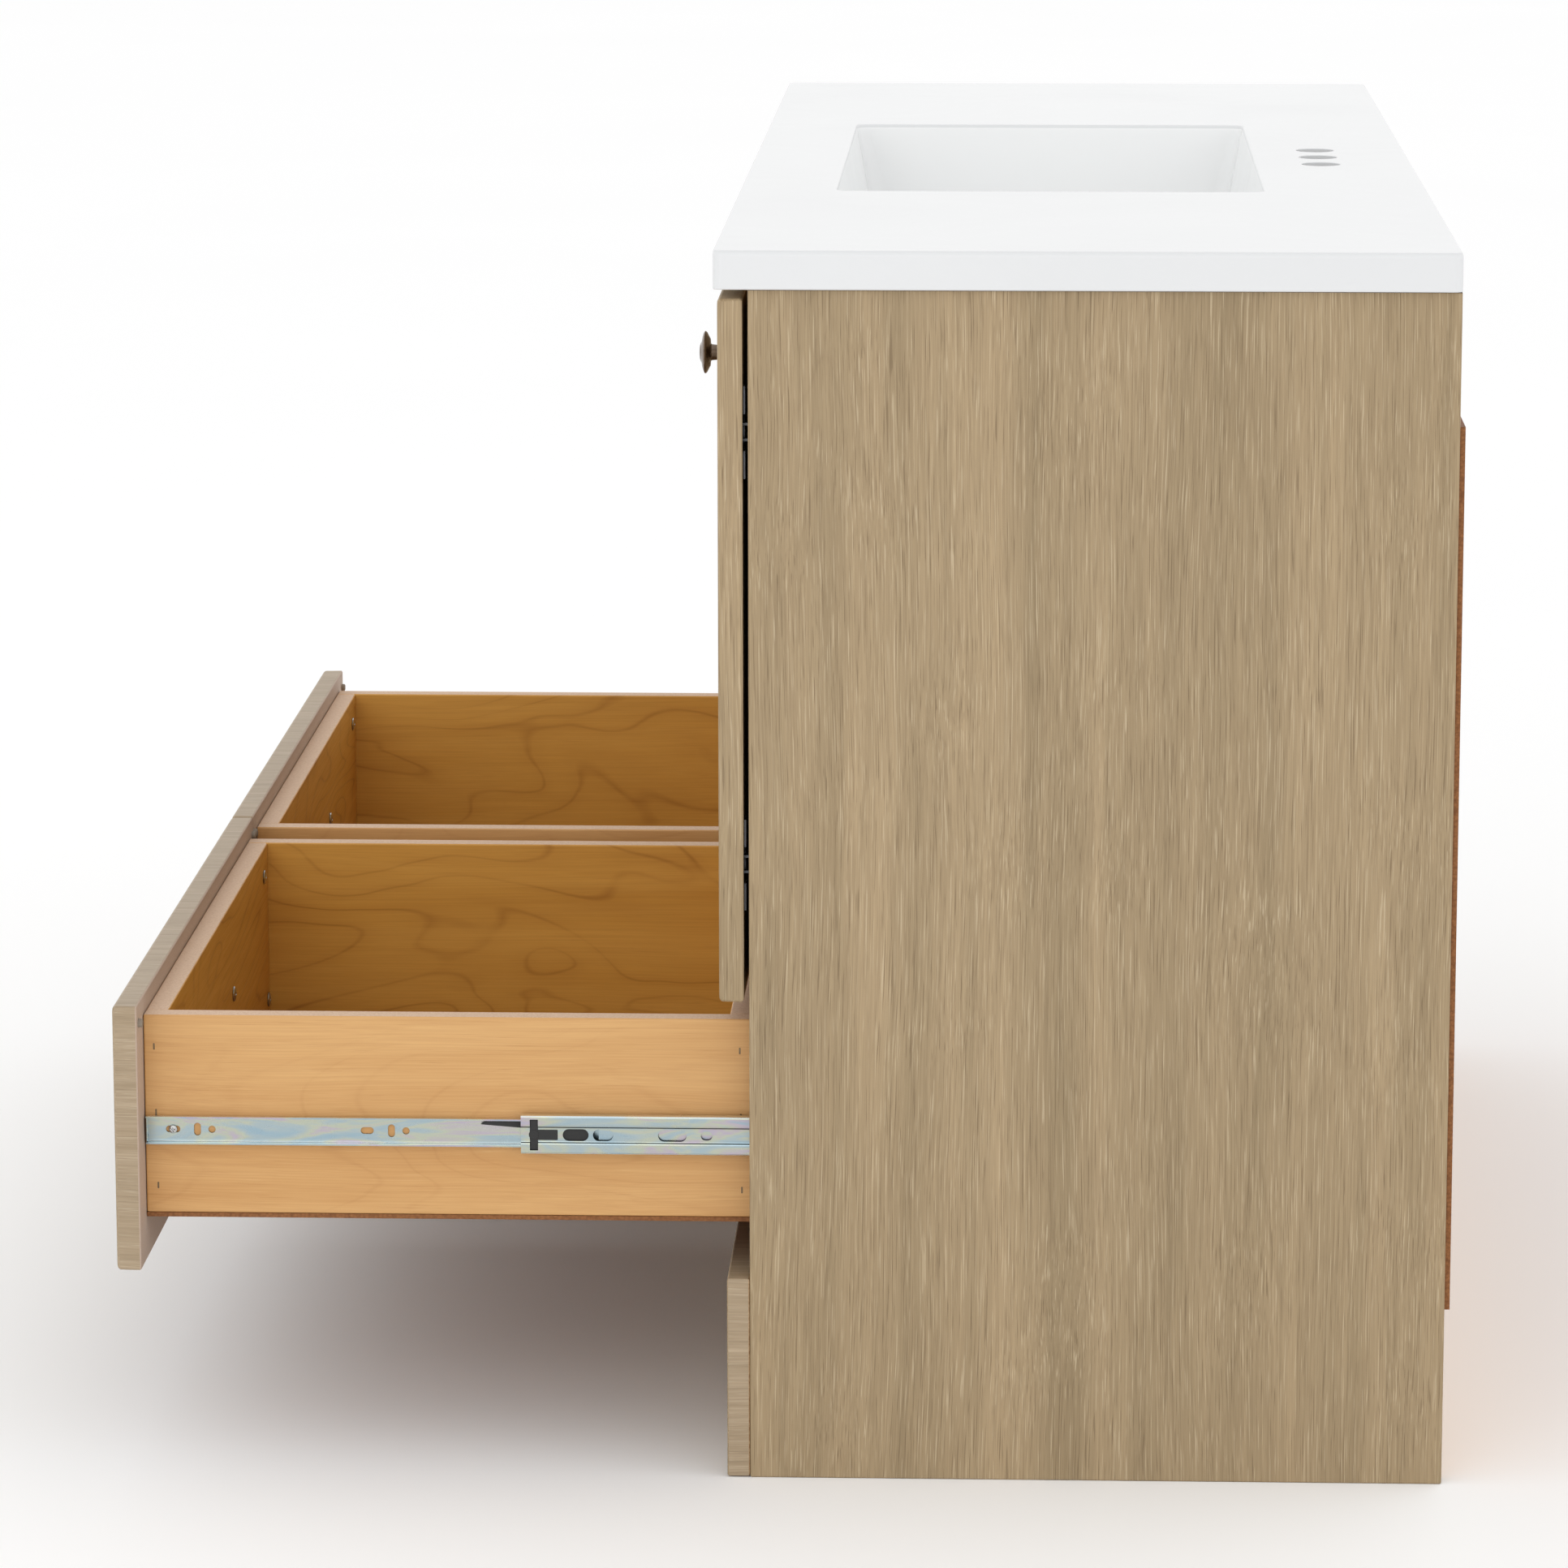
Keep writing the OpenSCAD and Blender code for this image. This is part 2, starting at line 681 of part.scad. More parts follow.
// Plate on the cabinet's inner face with the arm that reaches into the cup.
// overlay is how far the door covers the panel that carries the plate.
module hinge_arm(overlay) {
    arm_x = -link_pivot_in;
    ear_z = link_half_h + 0.3;
    for (z = hinge_heights()) translate([0, 0, z]) {
        translate([-overlay - plate_t, plate_y - plate_w / 2, -plate_half_h])
            cube([plate_t, plate_w, 2 * plate_half_h]);
        // Bar from the plate towards the door
        translate([arm_x - arm_w / 2, -cabinet_d - 0.5, -ear_z - ear_t])
            cube([arm_w, arm_len, 2 * (ear_z + ear_t)]);
        // Foot that joins the bar to the plate
        translate([arm_x, plate_y - plate_w / 2, -ear_z - ear_t])
            cube([-arm_x - overlay - plate_t, plate_w, 2 * (ear_z + ear_t)]);
        // Two ears that hold the link's pin
        for (s = [-1, 1])
            translate([arm_x, 0, s > 0 ? ear_z : -ear_z - ear_t]) {
                translate([-arm_w / 2, front_face_y + link_pivot_back, 0])
                    cube([arm_w, -cabinet_d - front_face_y - link_pivot_back + 1, ear_t]);
                translate([0, front_face_y + link_pivot_back, 0])
                    cylinder(d = arm_w, h = ear_t);
            }
        translate([arm_x, front_face_y + link_pivot_back, -ear_z - ear_t])
            cylinder(r = pin_r, h = 2 * (ear_z + ear_t));
    }
}

module hinge_arms() {
    color(zinc) for (side = [0, 1]) mirror([side, 0, 0]) {
        translate([right_door_x, 0, 0]) hinge_arm(panel_t);
        translate([centre_door_x, 0, 0])
            hinge_arm(centre_door_x - partition_x + panel_t / 2);
    }
}

module at_right_door() {
    translate([right_door_x, 0, 0]) children();
}
module at_centre_right_door() {
    translate([centre_door_x, 0, 0]) children();
}
module at_centre_left_door() {
    on_left() at_centre_right_door() children();
}
module at_left_door() {
    on_left() at_right_door() children();
}

// ---- What each node draws ----

vanity_top();
right_side_panel();
left_side_panel();
base_board();
cabinet_floor();
deck_panel();
right_partition();
left_partition();
drawer_partition();
back_panel();
front_rail();
back_rails();
corner_blocks();
cabinet_screws();
cabinet_slides();
hinge_arms();

drawer_front();  // right_drawer_front
drawer_box_front();  // right_drawer_box_front
drawer_box_back();  // right_drawer_box_back
drawer_outer_side();  // right_drawer_outer_side
drawer_inner_side();  // right_drawer_inner_side
drawer_bottom();  // right_drawer_bottom
drawer_pull();  // right_drawer_pull
drawer_screws();  // right_drawer_screws
drawer_bumpers();  // right_drawer_bumpers
drawer_slides();  // right_drawer_slides
color(black) at_outer_slide() release_lever();  // right_drawer_outer_lever
color(black) at_inner_slide() release_lever();  // right_drawer_inner_lever

on_left() drawer_front();  // left_drawer_front
on_left() drawer_box_front();  // left_drawer_box_front
on_left() drawer_box_back();  // left_drawer_box_back
on_left() drawer_outer_side();  // left_drawer_outer_side
on_left() drawer_inner_side();  // left_drawer_inner_side
on_left() drawer_bottom();  // left_drawer_bottom
on_left() drawer_pull();  // left_drawer_pull
on_left() drawer_screws();  // left_drawer_screws
on_left() drawer_bumpers();  // left_drawer_bumpers
on_left() drawer_slides();  // left_drawer_slides
color(black) on_left() at_outer_slide() release_lever();  // left_drawer_outer_lever
color(black) on_left() at_inner_slide() release_lever();  // left_drawer_inner_lever

middle_slides();  // right_middle_slides
on_left() middle_slides();  // left_middle_slides
slide_retainers();  // right_slide_retainers
on_left() slide_retainers();  // left_slide_retainers

at_right_door() door_panel();  // right_door_panel
at_right_door() knob();  // right_door_knob
at_right_door() hinge_cups();  // right_door_hinge_cups
at_right_door() hinge_links();  // right_door_hinge_links
at_centre_right_door() door_panel();  // centre_right_door_panel
at_centre_right_door() knob();  // centre_right_door_knob
at_centre_right_door() hinge_cups();  // centre_right_door_hinge_cups
at_centre_right_door() hinge_links();  // centre_right_door_hinge_links
at_centre_left_door() door_panel();  // centre_left_door_panel
at_centre_left_door() knob();  // centre_left_door_knob
at_centre_left_door() hinge_cups();  // centre_left_door_hinge_cups
at_centre_left_door() hinge_links();  // centre_left_door_hinge_links
at_left_door() door_panel();  // left_door_panel
at_left_door() knob();  // left_door_knob
at_left_door() hinge_cups();  // left_door_hinge_cups
at_left_door() hinge_links();  // left_door_hinge_links
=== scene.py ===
"""Looks of the bathroom vanity: moulded basin top, oak-print cabinet, open drawers and doors."""

import json
import logging
import math
from dataclasses import dataclass, field
from enum import Enum
from typing import Any, Iterable, Sequence

import bmesh
import bpy
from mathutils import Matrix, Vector


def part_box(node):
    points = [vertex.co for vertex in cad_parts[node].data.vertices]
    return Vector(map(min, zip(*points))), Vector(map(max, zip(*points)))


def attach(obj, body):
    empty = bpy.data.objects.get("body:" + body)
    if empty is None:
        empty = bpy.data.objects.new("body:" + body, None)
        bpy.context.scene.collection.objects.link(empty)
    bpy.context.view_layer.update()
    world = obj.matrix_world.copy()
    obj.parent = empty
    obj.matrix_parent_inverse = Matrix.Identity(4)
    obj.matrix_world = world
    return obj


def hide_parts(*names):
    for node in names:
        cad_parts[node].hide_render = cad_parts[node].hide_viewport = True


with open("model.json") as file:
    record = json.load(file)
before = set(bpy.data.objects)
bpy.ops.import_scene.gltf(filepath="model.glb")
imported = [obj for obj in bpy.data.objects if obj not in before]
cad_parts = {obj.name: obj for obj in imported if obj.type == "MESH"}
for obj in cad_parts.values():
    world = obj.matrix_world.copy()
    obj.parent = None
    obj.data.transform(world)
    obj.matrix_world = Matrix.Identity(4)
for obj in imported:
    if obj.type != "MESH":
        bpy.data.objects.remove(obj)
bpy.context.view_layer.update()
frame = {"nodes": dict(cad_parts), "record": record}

MM = 0.001
log = logging.getLogger("vanity")


# ---- Colour and node helpers ----


def tone(red: float, green: float, blue: float) -> tuple[float, float, float, float]:
    """Turns display values from 0 to 255 into a linear colour.

    Args:
        red: Red, 0 to 255.
        green: Green, 0 to 255.
        blue: Blue, 0 to 255.

    Returns:
        The linear colour with full alpha.
    """
    def linear(value: float) -> float:
        """One channel."""
        c = value / 255
        return c / 12.92 if c <= 0.04045 else ((c + 0.055) / 1.055) ** 2.4
    return linear(red), linear(green), linear(blue), 1.0


class Graph:
    """Adds and joins the nodes of one tree."""

    def __init__(self, tree: bpy.types.NodeTree) -> None:
        """Keeps the tree and empties it.

        Args:
            tree: The node tree to fill.
        """
        self.tree = tree
        tree.nodes.clear()

    def add(self, kind: str, inputs: dict[Any, Any] | None = None, **settings: Any) -> bpy.types.Node:
        """Adds a node, sets it and joins it.

        Args:
            kind: The node's type name.
            inputs: Socket name or number to a value, or to the socket that feeds it.
            settings: Attributes of the node.

        Returns:
            The new node.
        """
        node = self.tree.nodes.new(kind)
        for key, value in settings.items():
            setattr(node, key, value)
        for key, value in (inputs or {}).items():
            if isinstance(value, bpy.types.NodeSocket):
                self.tree.links.new(value, node.inputs[key])
            else:
                node.inputs[key].default_value = value
        return node

    def math(self, operation: str, first: Any, second: Any = 0.0) -> bpy.types.NodeSocket:
        """Adds a Math node and returns its result."""
        return self.add("ShaderNodeMath", {0: first, 1: second}, operation=operation).outputs[0]

    def noise(self, vector: Any, scale: float, detail: float = 2.0, rough: float = 0.5,
              warp: float = 0.0) -> bpy.types.NodeSocket:
        """Adds a Noise texture and returns its value."""
        return self.add("ShaderNodeTexNoise", {"Vector": vector, "Scale": scale, "Detail": detail,
                                               "Roughness": rough, "Distortion": warp}).outputs[0]

    def stretch(self, vector: Any, across: Any, along: Any) -> bpy.types.NodeSocket:
        """Scales a vector by one number in X and Y and another in Z."""
        scale = self.add("ShaderNodeCombineXYZ", {"X": across, "Y": across, "Z": along}).outputs[0]
        return self.add("ShaderNodeVectorMath", {0: vector, 1: scale},
                        operation="MULTIPLY").outputs[0]

    def range(self, value: Any, low: Any, high: Any, out_low: Any, out_high: Any) -> bpy.types.NodeSocket:
        """Maps a value from one range to another, held at the ends."""
        return self.add("ShaderNodeMapRange", {"Value": value, "From Min": low, "From Max": high,
                                               "To Min": out_low, "To Max": out_high}).outputs[0]

    def blend(self, share: Any, first: Any, second: Any, mode: str = "MIX") -> bpy.types.NodeSocket:
        """Mixes two colours and returns the result."""
        return self.add("ShaderNodeMix", {0: share, 6: first, 7: second}, data_type="RGBA",
                        blend_type=mode).outputs[2]

    def ramp(self, value: Any, stops: Sequence[tuple[float, tuple]]) -> bpy.types.NodeSocket:
        """Turns a value into a colour by stops of place and colour."""
        node = self.add("ShaderNodeValToRGB", {"Fac": value})
        elements = node.color_ramp.elements
        while len(elements) < len(stops):
            elements.new(0.5)
        for element, (place, colour) in zip(elements, stops):
            element.position, element.color = place, colour
        return node.outputs[0]


class ShaderGroup:
    """A shared effect: a node group with named inputs and outputs, built once."""

    name = ""
    takes: dict[str, Any] = {}
    gives: tuple[str, ...] = ()

    @classmethod
    def tree(cls) -> bpy.types.NodeTree:
        """Returns the group's tree, and builds it the first time."""
        found = bpy.data.node_groups.get(cls.name)
        if found:
            return found
        tree = bpy.data.node_groups.new(cls.name, "ShaderNodeTree")
        tree.interface.new_socket("Vector", in_out="INPUT", socket_type="NodeSocketVector")
        for key, value in cls.takes.items():
            socket = tree.interface.new_socket(key, in_out="INPUT", socket_type="NodeSocketFloat")
            socket.default_value = value
        for key in cls.gives:
            tree.interface.new_socket(key, in_out="OUTPUT", socket_type="NodeSocketFloat")
        graph = Graph(tree)
        source = graph.add("NodeGroupInput")
        graph.add("NodeGroupOutput", cls.fill(graph, source.outputs))
        return tree

    @classmethod
    def fill(cls, graph: Graph, given: Any) -> dict[str, bpy.types.NodeSocket]:
        """Builds the effect and returns output name to socket."""
        raise NotImplementedError

    @classmethod
    def use(cls, graph: Graph, vector: Any, **values: float) -> bpy.types.NodeOutputs:
        """Places the group in a material.

        Args:
            graph: The material's graph.
            vector: The coordinates that the effect reads.
            values: Input values, with _ for each space in a name.

        Returns:
            The placed group's outputs.
        """
        node = graph.add("ShaderNodeGroup", node_tree=cls.tree())
        graph.tree.links.new(vector, node.inputs["Vector"])
        for key, value in values.items():
            node.inputs[key.replace("_", " ")].default_value = value
        return node.outputs


class WoodPrint(ShaderGroup):
    """Printed wood, grain along the vector's Z: bands, arches, fibres, pores and pale flecks."""

    name = "wood_print"
    takes = {"Band Scale": 40.0, "Band Length": 1.5, "Arch Scale": 5.0, "Arch Length": 0.5,
             "Fibre Scale": 950.0, "Fibre Length": 8.0, "Pore Scale": 1300.0,
             "Pore Length": 22.0, "Pore Cut": 0.6}
    gives = ("Bands", "Arches", "Fibres", "Pores", "Flecks")

    @classmethod
    def fill(cls, graph: Graph, given: Any) -> dict[str, bpy.types.NodeSocket]:
        """Builds the five values from stretched noise; the arches are contour lines of one."""
        sway = graph.add("ShaderNodeTexNoise", {"Vector": graph.stretch(given["Vector"], 5.0, 2.2),
                                                "Scale": 1.0, "Detail": 2.0}).outputs[1]
        centred = graph.add("ShaderNodeVectorMath", {0: sway, 1: (0.5, 0.5, 0.5)},
                            operation="SUBTRACT").outputs[0]
        small = graph.add("ShaderNodeVectorMath", {0: centred, 1: (0.02, 0.02, 0.0)},
                          operation="MULTIPLY").outputs[0]
        bent = graph.add("ShaderNodeVectorMath", {0: given["Vector"], 1: small},
                         operation="ADD").outputs[0]
        bands = graph.noise(graph.stretch(bent, given["Band Scale"], given["Band Length"]),
                            1.0, 5.0, 0.62, 0.4)
        hills = graph.noise(graph.stretch(bent, given["Arch Scale"], given["Arch Length"]),
                            1.0, 2.5, 0.45, 0.7)
        steps = graph.math("FRACT", graph.math("MULTIPLY", hills, 17.0))
        crest = graph.math("ABSOLUTE", graph.math("SUBTRACT", graph.math("MULTIPLY", steps, 2.0),
                                                  1.0))
        fade = graph.range(bands, 0.36, 0.6, 0.15, 1.0)
        thin = graph.math("ADD", graph.range(crest, 0.86, 1.0, 0.0, 0.75),
                          graph.range(crest, 0.3, 1.0, 0.0, 0.25))
        arches = graph.math("MULTIPLY", thin, fade)
        fibres = graph.noise(graph.stretch(bent, given["Fibre Scale"], given["Fibre Length"]),
                             1.0, 3.0, 0.6)
        pits = graph.noise(graph.stretch(bent, given["Pore Scale"], given["Pore Length"]),
                           1.0, 2.0, 0.5)
        top = graph.math("ADD", given["Pore Cut"], 0.07)
        pores = graph.range(pits, given["Pore Cut"], top, 0.0, 1.0)
        flecks = graph.range(pits, graph.math("SUBTRACT", 1.0, given["Pore Cut"]),
                             graph.math("SUBTRACT", 1.0, top), 0.0, 1.0)
        return {"Bands": bands, "Arches": arches, "Fibres": fibres, "Pores": pores,
                "Flecks": flecks}


class Handling(ShaderGroup):
    """Soft smudges and fine grit of a handled surface."""

    name = "handling"
    takes = {"Smudge Scale": 9.0, "Grit Scale": 900.0}
    gives = ("Smudge", "Grit")

    @classmethod
    def fill(cls, graph: Graph, given: Any) -> dict[str, bpy.types.NodeSocket]:
        """Builds both from plain noise."""
        return {"Smudge": graph.noise(given["Vector"], given["Smudge Scale"], 4.0, 0.55, 0.6),
                "Grit": graph.noise(given["Vector"], given["Grit Scale"])}


class Grain(Enum):
    """Direction of a printed grain, as the turn that brings it to the pattern's Z."""

    UP = (0.0, 0.0, 0.0)
    DEEP = (math.pi / 2, 0.0, 0.0)
    WIDE = (0.0, -math.pi / 2, 0.0)


# ---- Finishes ----


@dataclass(frozen=True)
class Finish:
    """A surface finish. Each kind fills its own nodes.

    Attributes:
        name: The material's name.
        roughness: The middle of the roughness.
    """

    name: str
    roughness: float = 0.4

    def material(self) -> bpy.types.Material:
        """Returns the material, and builds it the first time."""
        found = bpy.data.materials.get(self.name)
        if found:
            return found
        made = bpy.data.materials.new(self.name)
        made.use_nodes = True
        graph = Graph(made.node_tree)
        shader = graph.add("ShaderNodeBsdfPrincipled")
        graph.add("ShaderNodeOutputMaterial", {"Surface": shader.outputs[0]})
        place = graph.add("ShaderNodeTexCoord").outputs["Object"]
        self.dress(graph, shader, place)
        return made

    def dress(self, graph: Graph, shader: bpy.types.Node, place: bpy.types.NodeSocket) -> None:
        """Fills the material.

        Args:
            graph: The material's graph.
            shader: Its Principled BSDF.
            place: Object coordinates.
        """
        raise NotImplementedError

    def feed(self, graph: Graph, shader: bpy.types.Node, colour: Any = None, rough: Any = None,
             height: Any = None, depth: float = 0.0002, strength: float = 0.5) -> None:
        """Joins colour, roughness and bump height to the shader where they are given."""
        if colour is not None:
            graph.tree.links.new(colour, shader.inputs["Base Color"])
        if rough is not None:
            graph.tree.links.new(rough, shader.inputs["Roughness"])
        if height is not None:
            bump = graph.add("ShaderNodeBump", {"Height": height, "Distance": depth,
                                                "Strength": strength})
            graph.tree.links.new(bump.outputs[0], shader.inputs["Normal"])


@dataclass(frozen=True)
class WoodFoil(Finish):
    """Printed wood foil or laminate.

    Attributes:
        light: Colour of the light bands.
        dark: Colour of the dark bands.
        line: Colour of pores and late-wood lines.
        grain: Direction of the grain.
        shift: Where the print starts, in metres.
        band: Bands per metre across the grain.
        band_length: Bands per metre along the grain.
        arch: Rings per metre across the grain.
        arch_length: Rings per metre along the grain.
        arch_share: How much the rings tint the wood.
        pore_cut: Noise level above which a pore shows.
        pore_share: How dark a pore is.
        fibre_share: How much the fibres tint the wood.
        fleck: Colour of the pale flecks between the pores.
        fleck_share: How pale a fleck is.
    """

    light: tuple = (0.5, 0.4, 0.3, 1.0)
    dark: tuple = (0.3, 0.2, 0.1, 1.0)
    line: tuple = (0.2, 0.1, 0.05, 1.0)
    grain: Grain = Grain.UP
    shift: tuple = (0.0, 0.0, 0.0)
    band: float = 45.0
    band_length: float = 1.3
    arch: float = 5.0
    arch_length: float = 0.5
    arch_share: float = 0.2
    pore_cut: float = 0.6
    pore_share: float = 0.5
    fibre_share: float = 0.3
    fleck: tuple = (0.6, 0.5, 0.4, 1.0)
    fleck_share: float = 0.0

    def dress(self, graph: Graph, shader: bpy.types.Node, place: bpy.types.NodeSocket) -> None:
        """Tints bands, rings, fibres and pores, and presses the pores in."""
        turned = graph.add("ShaderNodeMapping", {"Vector": place, "Rotation": self.grain.value,
                                                 "Location": self.shift}).outputs[0]
        wood = WoodPrint.use(graph, turned, Band_Scale=self.band, Band_Length=self.band_length,
                             Arch_Scale=self.arch, Arch_Length=self.arch_length,
                             Pore_Cut=self.pore_cut)
        spread = graph.range(wood["Bands"], 0.3, 0.7, 0.0, 1.0)
        base = graph.blend(spread, self.light, self.dark)
        rings = graph.math("MULTIPLY", wood["Arches"], self.arch_share)
        ringed = graph.blend(rings, base, self.line)
        fine = graph.range(wood["Fibres"], 0.35, 0.7, 0.0, self.fibre_share)
        fibred = graph.blend(fine, ringed, self.line)
        dotted = graph.math("MULTIPLY", wood["Pores"], self.pore_share)
        pored = graph.blend(dotted, fibred, self.line)
        flecked = graph.math("MULTIPLY", wood["Flecks"], self.fleck_share)
        colour = graph.blend(flecked, pored, self.fleck)
        rough = graph.range(wood["Fibres"], 0.2, 0.8, self.roughness - 0.06, self.roughness + 0.08)
        height = graph.math("SUBTRACT", graph.math("MULTIPLY", wood["Fibres"], 0.35), wood["Pores"])
        self.feed(graph, shader, colour, rough, height, 0.00008, 0.3)
        shader.inputs["Specular IOR Level"].default_value = 0.35


@dataclass(frozen=True)
class MouldedGel(Finish):
    """Gloss gel coat over moulded stone.

    Attributes:
        colour: The coat's colour.
        cloud: The faint tint it clouds to.
    """

    colour: tuple = (0.8, 0.8, 0.8, 1.0)
    cloud: tuple = (0.78, 0.78, 0.78, 1.0)

    def dress(self, graph: Graph, shader: bpy.types.Node, place: bpy.types.NodeSocket) -> None:
        """Clouds the colour and the gloss a little."""
        marks = Handling.use(graph, place, Smudge_Scale=6.0, Grit_Scale=1500.0)
        colour = graph.blend(graph.range(marks["Smudge"], 0.35, 0.7, 0.0, 1.0),
                             self.colour, self.cloud)
        rough = graph.range(marks["Smudge"], 0.3, 0.7, self.roughness - 0.01, self.roughness + 0.03)
        self.feed(graph, shader, colour, rough, marks["Smudge"], 0.0001, 0.03)
        shader.inputs["Specular IOR Level"].default_value = 0.22
        shader.inputs["Coat Weight"].default_value = 0.06
        shader.inputs["Coat Roughness"].default_value = 0.08


@dataclass(frozen=True)
class PressedFibre(Finish):
    """Fibreboard, chipboard or raw board edge.

    Attributes:
        light: Colour of the pale chips.
        dark: Colour of the dark chips.
        chip: Chips per metre.
    """

    light: tuple = (0.4, 0.3, 0.2, 1.0)
    dark: tuple = (0.2, 0.12, 0.06, 1.0)
    chip: float = 260.0

    def dress(self, graph: Graph, shader: bpy.types.Node, place: bpy.types.NodeSocket) -> None:
        """Scatters chips and fine dust."""
        cells = graph.add("ShaderNodeTexVoronoi", {"Vector": place, "Scale": self.chip,
                                                   "Randomness": 1.0})
        marks = Handling.use(graph, place, Smudge_Scale=self.chip * 0.2, Grit_Scale=self.chip * 5)
        mixed = graph.math("ADD", graph.math("MULTIPLY", cells.outputs["Distance"], 0.5),
                           graph.math("MULTIPLY", marks["Grit"], 0.7))
        colour = graph.blend(graph.range(mixed, 0.25, 0.85, 0.0, 1.0), self.light, self.dark)
        clouded = graph.blend(graph.range(marks["Smudge"], 0.45, 0.8, 0.0, 0.35), colour, self.dark)
        rough = graph.range(marks["Grit"], 0.3, 0.7, self.roughness - 0.05, self.roughness + 0.1)
        self.feed(graph, shader, clouded, rough, mixed, 0.0003, 0.4)
        shader.inputs["Specular IOR Level"].default_value = 0.25


@dataclass(frozen=True)
class PlatedSteel(Finish):
    """Zinc-plated steel with the faint colours of its passivated skin.

    Attributes:
        colour: The plating's colour.
        cool: Bluish tint.
        warm: Yellowish tint.
        pink: Pinkish tint.
        sheen: How strong the tints are.
    """

    colour: tuple = (0.6, 0.62, 0.64, 1.0)
    cool: tuple = (0.5, 0.62, 0.74, 1.0)
    warm: tuple = (0.78, 0.74, 0.56, 1.0)
    pink: tuple = (0.72, 0.58, 0.64, 1.0)
    sheen: float = 0.5

    def dress(self, graph: Graph, shader: bpy.types.Node, place: bpy.types.NodeSocket) -> None:
        """Tints the metal in long soft patches and brushes it finely."""
        shader.inputs["Metallic"].default_value = 1.0
        turned = graph.add("ShaderNodeMapping", {"Vector": place,
                                                 "Rotation": Grain.DEEP.value}).outputs[0]
        patch = graph.noise(graph.stretch(turned, 60.0, 14.0), 1.0, 3.0, 0.55, 1.2)
        tints = graph.ramp(patch, [(0.32, self.cool), (0.44, self.colour), (0.52, self.warm),
                                   (0.6, self.pink), (0.7, self.cool)])
        colour = graph.blend(self.sheen, self.colour, tints)
        brushed = graph.noise(graph.stretch(turned, 1800.0, 25.0), 1.0, 2.0)
        marks = Handling.use(graph, place, Smudge_Scale=40.0, Grit_Scale=1200.0)
        rough = graph.range(marks["Smudge"], 0.3, 0.7, self.roughness - 0.08, self.roughness + 0.1)
        self.feed(graph, shader, colour, rough, brushed, 0.00003, 0.25)


@dataclass(frozen=True)
class BrushedKnob(Finish):
    """Warm dark nickel, finely brushed.

    Attributes:
        colour: The metal's colour.
        shade: Its darker tint in the brushing.
    """

    colour: tuple = (0.16, 0.12, 0.09, 1.0)
    shade: tuple = (0.07, 0.05, 0.035, 1.0)

    def dress(self, graph: Graph, shader: bpy.types.Node, place: bpy.types.NodeSocket) -> None:
        """Brushes the metal round and round."""
        shader.inputs["Metallic"].default_value = 1.0
        hair = graph.noise(graph.stretch(place, 2600.0, 180.0), 1.0, 2.0)
        marks = Handling.use(graph, place, Smudge_Scale=70.0, Grit_Scale=2500.0)
        colour = graph.blend(graph.range(hair, 0.3, 0.75, 0.0, 0.8), self.colour, self.shade)
        rough = graph.range(marks["Smudge"], 0.3, 0.7, self.roughness - 0.07, self.roughness + 0.1)
        self.feed(graph, shader, colour, rough, hair, 0.00003, 0.3)


@dataclass(frozen=True)
class MouldedPlastic(Finish):
    """Moulded plastic or rubber with a fine grit.

    Attributes:
        colour: The plastic's colour.
        dust: The paler tint of handled spots.
        bump: How deep the grit is, in metres.
        gloss: How strongly it reflects.
    """

    colour: tuple = (0.02, 0.02, 0.02, 1.0)
    dust: tuple = (0.06, 0.06, 0.06, 1.0)
    bump: float = 0.00006
    gloss: float = 0.4

    def dress(self, graph: Graph, shader: bpy.types.Node, place: bpy.types.NodeSocket) -> None:
        """Adds the grit and the dusty tint."""
        marks = Handling.use(graph, place, Smudge_Scale=90.0, Grit_Scale=3200.0)
        colour = graph.blend(graph.range(marks["Smudge"], 0.4, 0.75, 0.0, 0.6),
                             self.colour, self.dust)
        rough = graph.range(marks["Grit"], 0.3, 0.7, self.roughness - 0.06, self.roughness + 0.08)
        self.feed(graph, shader, colour, rough, marks["Grit"], self.bump, 0.5)
        shader.inputs["Specular IOR Level"].default_value = self.gloss


@dataclass(frozen=True)
class StudioFloor(Finish):
    """Plain pale floor of the studio."""

    def dress(self, graph: Graph, shader: bpy.types.Node, place: bpy.types.NodeSocket) -> None:
        """Keeps the floor plain, with the faintest mottling."""
        marks = Handling.use(graph, place, Smudge_Scale=0.8, Grit_Scale=60.0)
        colour = graph.blend(graph.range(marks["Smudge"], 0.3, 0.7, 0.0, 1.0),
                             tone(253, 253, 253), tone(252, 252, 252))
        self.feed(graph, shader, colour)
        shader.inputs["Roughness"].default_value = 0.9
        shader.inputs["Specular IOR Level"].default_value = 0.1


def oak(name: str, grain: Grain, shift: tuple = (0.0, 0.0, 0.0)) -> WoodFoil:
    """Oak print of the cabinet's outside, with its grain in one direction."""
    return WoodFoil(name, 0.5, tone(177, 154, 120), tone(150, 131, 100), tone(106, 86, 60), grain,
                    shift, band=24.0, band_length=0.9, arch=9.0, arch_length=0.8,
                    arch_share=0.16, pore_cut=0.6, pore_share=0.55, fibre_share=0.36,
                    fleck=tone(208, 190, 160), fleck_share=0.42)


def maple(name: str, grain: Grain, shift: tuple = (0.0, 0.0, 0.0), rings: float = 0.16) -> WoodFoil:
    """Maple print of the drawer boxes and the inside of the cabinet."""
    return WoodFoil(name, 0.42, tone(214, 169, 112), tone(199, 150, 93), tone(156, 100, 46),
                    grain, shift, band=30.0, band_length=2.0, arch=7.0, arch_length=1.6,
                    arch_share=rings, pore_cut=0.64, pore_share=0.2, fibre_share=0.2,
                    fleck=tone(232, 196, 142), fleck_share=0.16)


